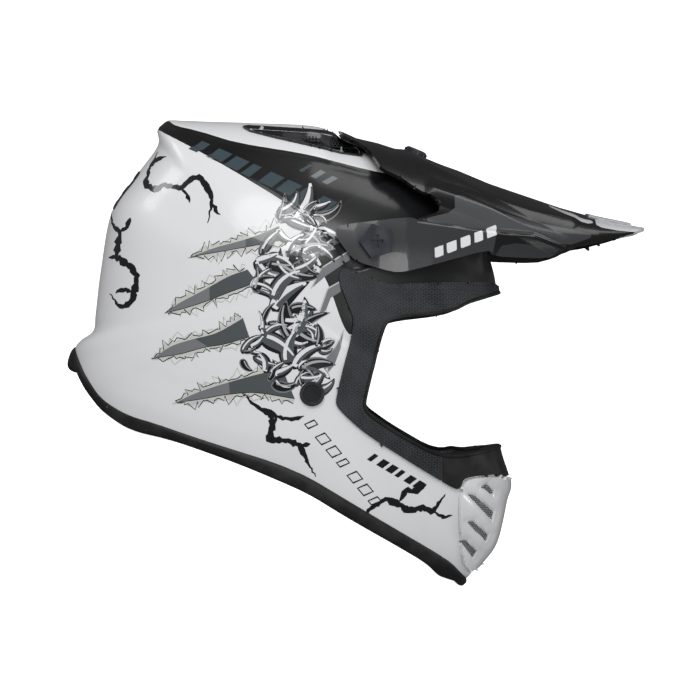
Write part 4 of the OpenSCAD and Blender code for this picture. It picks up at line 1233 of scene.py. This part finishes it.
@dataclass
class Peak:
    """The peak: arched sections from its arms to its front edge."""

    reach: float = 265.0
    wall: float = 2.8
    stations: Points = (
        (0.12, 131, 124.5, 27), (0.19, 122.5, 123.5, 27), (0.25, 118.8, 121.8, 27),
        (0.33, 112, 118, 27), (0.4, 105.5, 112.5, 27), (0.48, 98, 105, 28), (0.57, 88, 96, 30),
        (0.67, 79, 87, 30), (0.77, 70, 77, 33), (0.87, 62.5, 65, 40), (0.95, 58, 52, 46), (1, 55, 42, 51),
    )

    paint: dict[str, Points] = field(default_factory=lambda: {
        "arm": ((20, 20), (20, 60), (40, 56), (88.1, 59.7), (95, 57.5), (130.7, 52.5), (154, 49.6), (150, 30), (110, 10)),
        # The wing outline bounds a painted highlight: lighter grey where the facet would reflect the lights.
        "wing": ((121.5, 76.7), (147.4, 66.5), (167.5, 56.5), (180.9, 49.8), (203.5, 38.4), (180.9, 46.8), (154.1, 49.6), (130.7, 52.5), (96, 57.2), (123, 64)),
        "facet": ((155.8, 62.2), (180.9, 56.3), (207.6, 51.8), (229.4, 47.1), (203.5, 37.9), (180.9, 48.8), (167.5, 55.5)),
        "flange": ((150.8, 28), (158.8, 41.5), (202.6, 37.4), (189.2, 27)),
        "pale": ((229.4, 61.6), (275, 56.3), (275, 50), (249.4, 50.6), (229.4, 54)),
        "accent": ((191.4, 72.2), (207.6, 65.8), (219.7, 60.0), (226.4, 59.0), (227.4, 56.7), (222, 56.3), (207, 62.0)),
    })
    def label(self, flat: Array) -> Array:
        """Depth inside a row of five plain slanted bars on each arm."""
        along = (flat[:, 0] - 108.0) * 0.933 + (flat[:, 2] - 33.0) * 0.360
        up = -(flat[:, 0] - 108.0) * 0.360 + (flat[:, 2] - 33.0) * 0.933
        place = along - 0.35 * up
        bar = np.max([w - np.abs(place - c) for c, w in ((3, 3.4), (13, 3.9), (24, 3.9), (34.5, 3.4), (45, 3.9))], axis=0)
        return np.minimum(bar, 3.6 - np.abs(up))

    ridge: Points = ((108, 79), (121.5, 74.7), (147.4, 65.5), (167.5, 55.5), (180.9, 48.8), (203.5, 37.9))
    seam: Points = ((95.6, 57.2), (130.7, 52.5), (154.1, 49.6), (180.9, 46.8), (203.5, 37.9))
    spine: Points = ((85.6, 110.7), (117.3, 92.3), (134.1, 82.2), (149.9, 74.2), (180.9, 63.8), (211.0, 58.8))

    def relief(self, flat: Array) -> Array:
        """Height over the plain sheet: sharp folds along its ridge and spine, a groove at its seam."""
        x, z = flat[:, 0], flat[:, 2]
        gaps = [signed_gap(np.asarray(line, float), x, z)[1] for line in (self.ridge, self.spine, self.seam)]
        return (
            2.6 * np.clip(1 - gaps[0] / 9.0, 0, 1)
            + 1.8 * np.clip(1 - gaps[1] / 7.0, 0, 1)
            - 1.4 * np.clip(1 - gaps[2] / 2.0, 0, 1)
        )

    def point(self, forward: Array, turn: Array) -> Array:
        """A point of the outer face.

        Each section is a superellipse from the spine, at turn 0, to its widest place, at 90
        degrees, and then drops straight, 1 mm for every 2 degrees.
        """
        table = np.asarray(self.stations)
        x = forward
        top, half, low = (np.interp(x / self.reach, table[:, 0], table[:, k]) for k in (1, 2, 3))
        a = np.clip(turn, -math.pi / 2, math.pi / 2)
        drop = np.degrees(np.abs(turn) - np.abs(a)) / 2
        y = half * bend(np.sin(a), 2.4)
        z = low + (top - low) * bend(np.cos(a), 2.4) - drop
        return np.stack([x, y, z], -1)

    def sheet(self) -> Mesh:
        """The whole peak, cut to its side outline, with the values that its paint follows."""
        back = ((39, 150), (39, 123), (50, 118.5), (59, 112), (64.4, 104), (69, 96))
        edge = Outline.of((*back, *Lines.peak[5:]), 1)
        u = np.linspace(25, 266, 175)
        v = np.radians(np.linspace(-120, 120, 301))
        x, turn, faces = trimmed_grid(self.point, depth_of(edge), u, v)
        flat = self.point(x, turn)
        h = 0.4
        along = self.point(x + h, turn) - self.point(x - h, turn)
        across = self.point(x, turn + 0.01) - self.point(x, turn - 0.01)
        normal = unit(np.cross(along, across))
        outward = flat - np.stack([x, 0 * x, np.full_like(x, 20.0)], -1)
        normal *= np.sign(np.sum(normal * outward, -1, keepdims=True))
        values = {name: Outline.of(line, 1).depth(flat[:, 0], flat[:, 2]) for name, line in self.paint.items()}
        values["label"] = self.label(flat)
        points = flat + normal * self.relief(flat)[:, None]
        mesh = Mesh(points, faces, values, uv=flat[:, [0, 1]] * 0.01)
        return facing_out(mesh, (130.0, 0.0, 20.0))

    def knob(self, side: float) -> Mesh:
        """A pentagon head: a raised rim that slopes to its edges, round a star that is sunk.

        The radius to the pentagon's side is cos(36) over cos of the angle from the side's middle;
        the height is a roof over the share of that radius, less the star's depth.
        """
        low, high = (abs(v) / MM for v in sorted((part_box("side_screw_l")[0][1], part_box("side_screw_l")[1][1]))[::1])
        top = max(low, high)
        share = np.concatenate([[0.0], np.linspace(0.06, 1.0, 22), [1.0]])
        turn = np.linspace(0, 2 * math.pi, 120, endpoint=False)
        pent = 13.3 * math.cos(math.radians(36)) / np.cos(np.mod(turn, math.radians(72)) - math.radians(36))
        star = 0.50 + 0.16 * np.cos(5 * turn)
        s, star_share = share[:, None], star[None, :]
        height = top - 0.2 - 3.0 * ease((s - 0.72) / 0.30) - 1.9 * ease((star_share - s) / 0.07) + 0.9 * ease((0.13 - s) / 0.03)
        height = np.where(np.arange(len(share))[:, None] == len(share) - 1, top - 5.3, height)
        radius = s * pent[None, :]
        angle = turn[None, :] + math.pi
        points = np.stack([PIVOT[0] + radius * np.cos(angle), side * (height + 0 * radius), PIVOT[1] + radius * np.sin(angle)], -1)
        return facing_out(Mesh(points.reshape(-1, 3), grid_faces(len(share), len(turn), False, True)), (65.5, 0.0, 41.3))

    def build(self) -> None:
        """Makes the peak and dresses its screws and bushes."""
        for side, sign in (("r", -1.0), ("l", 1.0)):
            add_piece(f"screw_head_{side}", self.knob(sign), KNOB.build(), body=f"side_screw_{side}")
        add_piece("peak_sheet", self.sheet(), PEAK_PAINT.build(), ["peak"], body="peak", thickness=self.wall, bevel=0.6)
        dress("peak_lip", Finish("lip_plastic", (0.55, 0.56, 0.58), (0.48, 0.49, 0.51), 0.35, Pattern.GRAIN, 1.0, 0.03, coat=0.3))
        for side in "rl":
            dress(f"side_bush_{side}", ALLOY)
            dress(f"side_screw_{side}", SCREW)
            dress(f"side_nut_{side}", BRASS)
        dress("top_screw", SCREW)
        dress("top_nut", BRASS)


def soft_copy(node: str, name: str, voxel: float, passes: int, finish: Finish, cloth: float = 0.0) -> bpy.types.Object:
    """A smooth piece remade from a CAD solid.

    Args:
        node: the CAD solid that it replaces.
        name: the new piece's name.
        voxel: the remesh's cell in millimetres.
        passes: how many times its points are averaged with their neighbours.
        finish: its material.
        cloth: how far, in millimetres, it may swell under pressure; 0 leaves it as it is.

    Returns:
        The new piece.
    """
    source = bpy.data.objects[node]
    data = source.data.copy()
    data.transform(source.matrix_world)
    obj = bpy.data.objects.new(name, data)
    bpy.context.scene.collection.objects.link(obj)
    work = bmesh.new()
    work.from_mesh(data)
    bmesh.ops.remove_doubles(work, verts=work.verts, dist=1e-5)
    work.to_mesh(data)
    work.free()
    remesh = obj.modifiers.new("remesh", "REMESH")
    remesh.mode, remesh.voxel_size, remesh.use_smooth_shade = "VOXEL", voxel * MM, True
    smooth = obj.modifiers.new("smooth", "SMOOTH")
    smooth.factor, smooth.iterations = 0.5, passes
    if cloth:
        shrink = obj.modifiers.new("shrink", "DISPLACE")
        shrink.strength, shrink.mid_level = -1.2 * MM, 0.0
    apply_modifiers(obj)
    if cloth:
        swell(obj, cloth * MM)
    obj.data.polygons.foreach_set("use_smooth", np.ones(len(obj.data.polygons), bool))
    obj.data.materials.clear()
    obj.data.materials.append(finish.build())
    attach(obj, "shell")
    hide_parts(node)
    LOG.info("%s: %d faces", name, len(obj.data.polygons))
    return obj


def apply_modifiers(obj: bpy.types.Object) -> None:
    """Puts what the modifiers make into the mesh."""
    graph = bpy.context.evaluated_depsgraph_get()
    mesh = bpy.data.meshes.new_from_object(obj.evaluated_get(graph))
    obj.modifiers.clear()
    obj.data = mesh


def swell(obj: bpy.types.Object, cap: float) -> None:
    """Lets cloth swell a closed pad, with no point moving more than the cap, in metres."""
    scene = bpy.context.scene
    before = np.empty(len(obj.data.vertices) * 3)
    obj.data.vertices.foreach_get("co", before)
    cloth = obj.modifiers.new("cloth", "CLOTH")
    cloth.settings.use_pressure = True
    cloth.settings.uniform_pressure_force = 4.0
    cloth.settings.effector_weights.gravity = 0.0
    cloth.settings.quality = 5
    cloth.point_cache.frame_end = 20
    for frame_number in range(1, 21):
        scene.frame_set(frame_number)
    graph = bpy.context.evaluated_depsgraph_get()
    after = np.empty_like(before)
    obj.evaluated_get(graph).data.vertices.foreach_get("co", after)
    obj.modifiers.clear()
    scene.frame_set(1)
    move = (after - before).reshape(-1, 3)
    length = np.linalg.norm(move, axis=1, keepdims=True)
    move *= np.minimum(1.0, cap / np.maximum(length, 1e-9))
    obj.data.vertices.foreach_set("co", (before.reshape(-1, 3) + move).ravel())
    obj.data.update()


@dataclass
class Inside:
    """The foam, the linings and the removable pads."""

    def build(self) -> None:
        """Makes the soft pieces and dresses the small plastic ones."""
        soft_copy("eps_liner", "foam_liner", 3.0, 10, FOAM)
        soft_copy("chin_eps", "chin_foam", 2.5, 6, FOAM)
        soft_copy("comfort_liner", "crown_lining", 2.5, 14, LINING)
        soft_copy("chin_lining", "chin_bar_lining", 2.0, 6, LINING)
        for side in "rl":
            soft_copy(f"cheek_core_{side}", f"cheek_foam_{side}", 2.5, 4, FOAM)
            pad = soft_copy(f"cheek_pad_{side}", f"cheek_cushion_{side}", 4.0, 6, LINING, cloth=5.0)
            dress(f"pad_studs_{side}", STUD)
        pad = soft_copy("neck_pad", "neck_cushion", 3.0, 6, LINING, cloth=4.0)
        dress("liner_snaps", STUD)


@dataclass
class ChinStrap:
    """The webbing, its rings and its rivets.

    Runs are [across, up] points of an upright plane through the two rivets, measured from them.
    """

    width: float = 20.0
    thick: float = 1.9
    drop: float = -58.0
    upper: float = -49.0

    def runs(self) -> dict[str, Array]:
        """The middle lines of the long and the short strap, and of the sleeve."""
        web = self.web_line()
        side = np.array([(web, -11), (web, -30), (web - 5, -41), (web - 20, -51), (web - 45, self.drop)])
        radius = (self.upper - self.drop) / 2
        turn = np.radians(np.arange(-90, 91, 15))
        curl = np.stack([radius * np.cos(turn), (self.upper + self.drop) / 2 + radius * np.sin(turn)], -1)
        flat = self.drop + 2.3
        long_end = np.array([(-14, self.upper), (-26, flat), (-54, flat)])
        short_end = np.array([(30, self.upper), (42, flat), (58, flat)])
        mirror = np.array([-1.0, 1.0])
        return {
            "strap_long": np.concatenate([side * mirror, curl + (-3.4, 0), long_end]),
            "strap_short": np.concatenate([side, (curl + (-18, 0)) * mirror, short_end]),
            "strap_sleeve": side[2:] * mirror,
        }

    def web_line(self) -> float:
        """Half of the distance between the two straps' middle lines, at the rivets."""
        low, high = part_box("strap_plate_l")
        return min(abs(low[1]), abs(high[1])) / MM - 1.01

    def band(self, run: Array, width: float, thick: float, shift: float = 0.0) -> Mesh:
        """A flat band with rounded edges along a run, with lengths in its uv map."""
        path = resampled(rounded(run, 2, closed=False), 1.5)
        ahead = unit(np.gradient(path, axis=0))
        side = np.stack([-ahead[:, 1], ahead[:, 0]], -1)
        path = path + side * shift
        turn = np.linspace(0, 2 * math.pi, 24, endpoint=False)
        across, up = width / 2 * bend(np.sin(turn), 6.0), thick / 2 * bend(np.cos(turn), 2.6)
        flat = path[:, None] + side[:, None] * up[None, :, None]
        hung = np.stack([np.broadcast_to(across, flat.shape[:2]), flat[..., 0], flat[..., 1]], -1) * MM
        head = AXES.to_head(hung + AXES.to_row(np.array([RIVET[0], 0.0, RIVET[1]])))
        ends = head.mean(1, keepdims=True)[[0, -1]]
        rings = np.concatenate([np.repeat(ends[:1], 24, 1), head, np.repeat(ends[1:], 24, 1)])
        length = np.concatenate([[0.0], np.cumsum(np.linalg.norm(np.diff(path, axis=0), axis=1))])
        length = np.concatenate([[0.0], length, length[-1:]])
        place = np.stack(np.broadcast_arrays(across[None], length[:, None]), -1)
        return Mesh(rings.reshape(-1, 3), grid_faces(len(rings), 24, False, True), uv=place.reshape(-1, 2) * 0.01)

    def build(self) -> None:
        """Makes the webbing and dresses the metal."""
        for node, run in self.runs().items():
            sleeve = node == "strap_sleeve"
            wide, thick, shift = (25.5, 4.4, 3.6) if sleeve else (self.width, self.thick, 0.0)
            mesh = facing_out_tube(self.band(run, wide, thick, shift))
            add_piece(f"{node}_web", mesh, (LINING if sleeve else WEBBING).build(), [node], body="chin_strap")
        for node in ("d_ring_upper", "d_ring_lower", "strap_snap", "strap_plate_r", "strap_plate_l", "rivet_washer_r", "rivet_washer_l"):
            dress(node, STEEL)
        for side in "rl":
            dress(f"rivet_cap_{side}", CAP)
            dress(f"rivet_{side}", GUNMETAL)


@dataclass
class Studio:
    """A pale sweep, soft lights and a long lens level with the helmet's right side."""

    lens: float = 200.0
    view_width: float = 0.532
    aim: tuple[float, float] = (45.6, -38.0)

    def build(self) -> None:
        """Makes the sweep, the lights and the camera."""
        self.sweep()
        self.light("key", (-0.7, -2.2, 1.5), (0.0, 0.0, 0.15), 1.4, 27.0)
        self.light("fill", (1.0, -2.4, 0.5), (0.0, 0.0, 0.15), 0.6, 6.0)
        self.light("top", (-0.1, 0.0, 2.1), (0.0, 0.0, 0.15), 0.9, 5.0)
        self.light("front", (1.9, 0.2, 1.0), (0.0, 0.0, 0.15), 0.5, 3.0)
        self.light("back", (-1.9, 0.3, 0.9), (0.0, 0.0, 0.15), 0.6, 4.0)
        world = bpy.data.worlds.new("studio")
        bpy.context.scene.world = world
        world.use_nodes = True
        background = world.node_tree.nodes["Background"]
        background.inputs[0].default_value = (1.0, 1.0, 1.0, 1.0)
        web = Web(world.node_tree)
        path = web.add("ShaderNodeLightPath")
        web.tree.links.new(web.spread(path.outputs["Is Glossy Ray"], 0.0, 1.0, 0.50, 0.06), background.inputs[1])
        bpy.context.scene.view_settings.view_transform = "Standard"
        self.camera()

    def sweep(self) -> None:
        """A floor that curves up behind the helmet: a quarter round of 1.2 m between two planes."""
        t = np.linspace(0, math.pi / 2, 24)
        bend_y, bend_z = 3.0 + 1.2 * np.sin(t), 1.2 - 1.2 * np.cos(t)
        y = np.concatenate([[-8.0, 0.0], bend_y, [4.2]])
        z = np.concatenate([[0.0, 0.0], bend_z, [7.0]])
        x = np.array([-8.0, 8.0])
        points = np.stack([np.tile(x, len(y)), np.repeat(y, 2), np.repeat(z, 2)], -1)
        data = bpy.data.meshes.new("sweep")
        data.from_pydata(points.tolist(), [], grid_faces(len(y), 2).tolist())
        data.polygons.foreach_set("use_smooth", np.ones(len(data.polygons), bool))
        material = STUDIO.build()
        shader = material.node_tree.nodes["Principled BSDF"]
        shader.inputs["Emission Color"].default_value = (1.0, 1.0, 1.0, 1.0)
        shader.inputs["Emission Strength"].default_value = 1.0
        data.materials.append(material)
        obj = bpy.data.objects.new("sweep", data)
        obj.visible_glossy = obj.visible_diffuse = False
        bpy.context.scene.collection.objects.link(obj)

    def light(self, name: str, place: tuple[float, float, float], aim: tuple[float, float, float], size: float, watts: float) -> None:
        """A square soft light at a place, turned to its aim."""
        data = bpy.data.lights.new(name, "AREA")
        data.size, data.energy = size, watts
        obj = bpy.data.objects.new(name, data)
        obj.location = place
        obj.rotation_euler = (Vector(aim) - Vector(place)).to_track_quat("-Z", "Y").to_euler()
        bpy.context.scene.collection.objects.link(obj)

    def camera(self) -> None:
        """A camera that looks along +Y with the head's own up at the top of the view."""
        data = bpy.data.cameras.new("camera")
        data.lens, data.sensor_width, data.clip_end = self.lens, 36.0, 50.0
        obj = bpy.data.objects.new("camera", data)
        c, s = math.cos(AXES.turn), math.sin(AXES.turn)
        x, _, z = AXES.to_row(np.array([self.aim[0], 0.0, self.aim[1]]))
        away = self.view_width * self.lens / 36.0
        obj.matrix_world = Matrix(((c, -s, 0, x), (0, 0, -1, -away), (s, c, 0, z), (0, 0, 0, 1)))
        bpy.context.scene.collection.objects.link(obj)
        bpy.context.scene.camera = obj


def main() -> None:
    """Builds the helmet's sub-assemblies in order."""
    logging.basicConfig(level=logging.INFO, format="%(message)s")
    Studio().build()
    for part in (Shell(), Vents(), Peak(), Inside(), ChinStrap()):
        part.build()


if __name__ == "__main__":
    main()
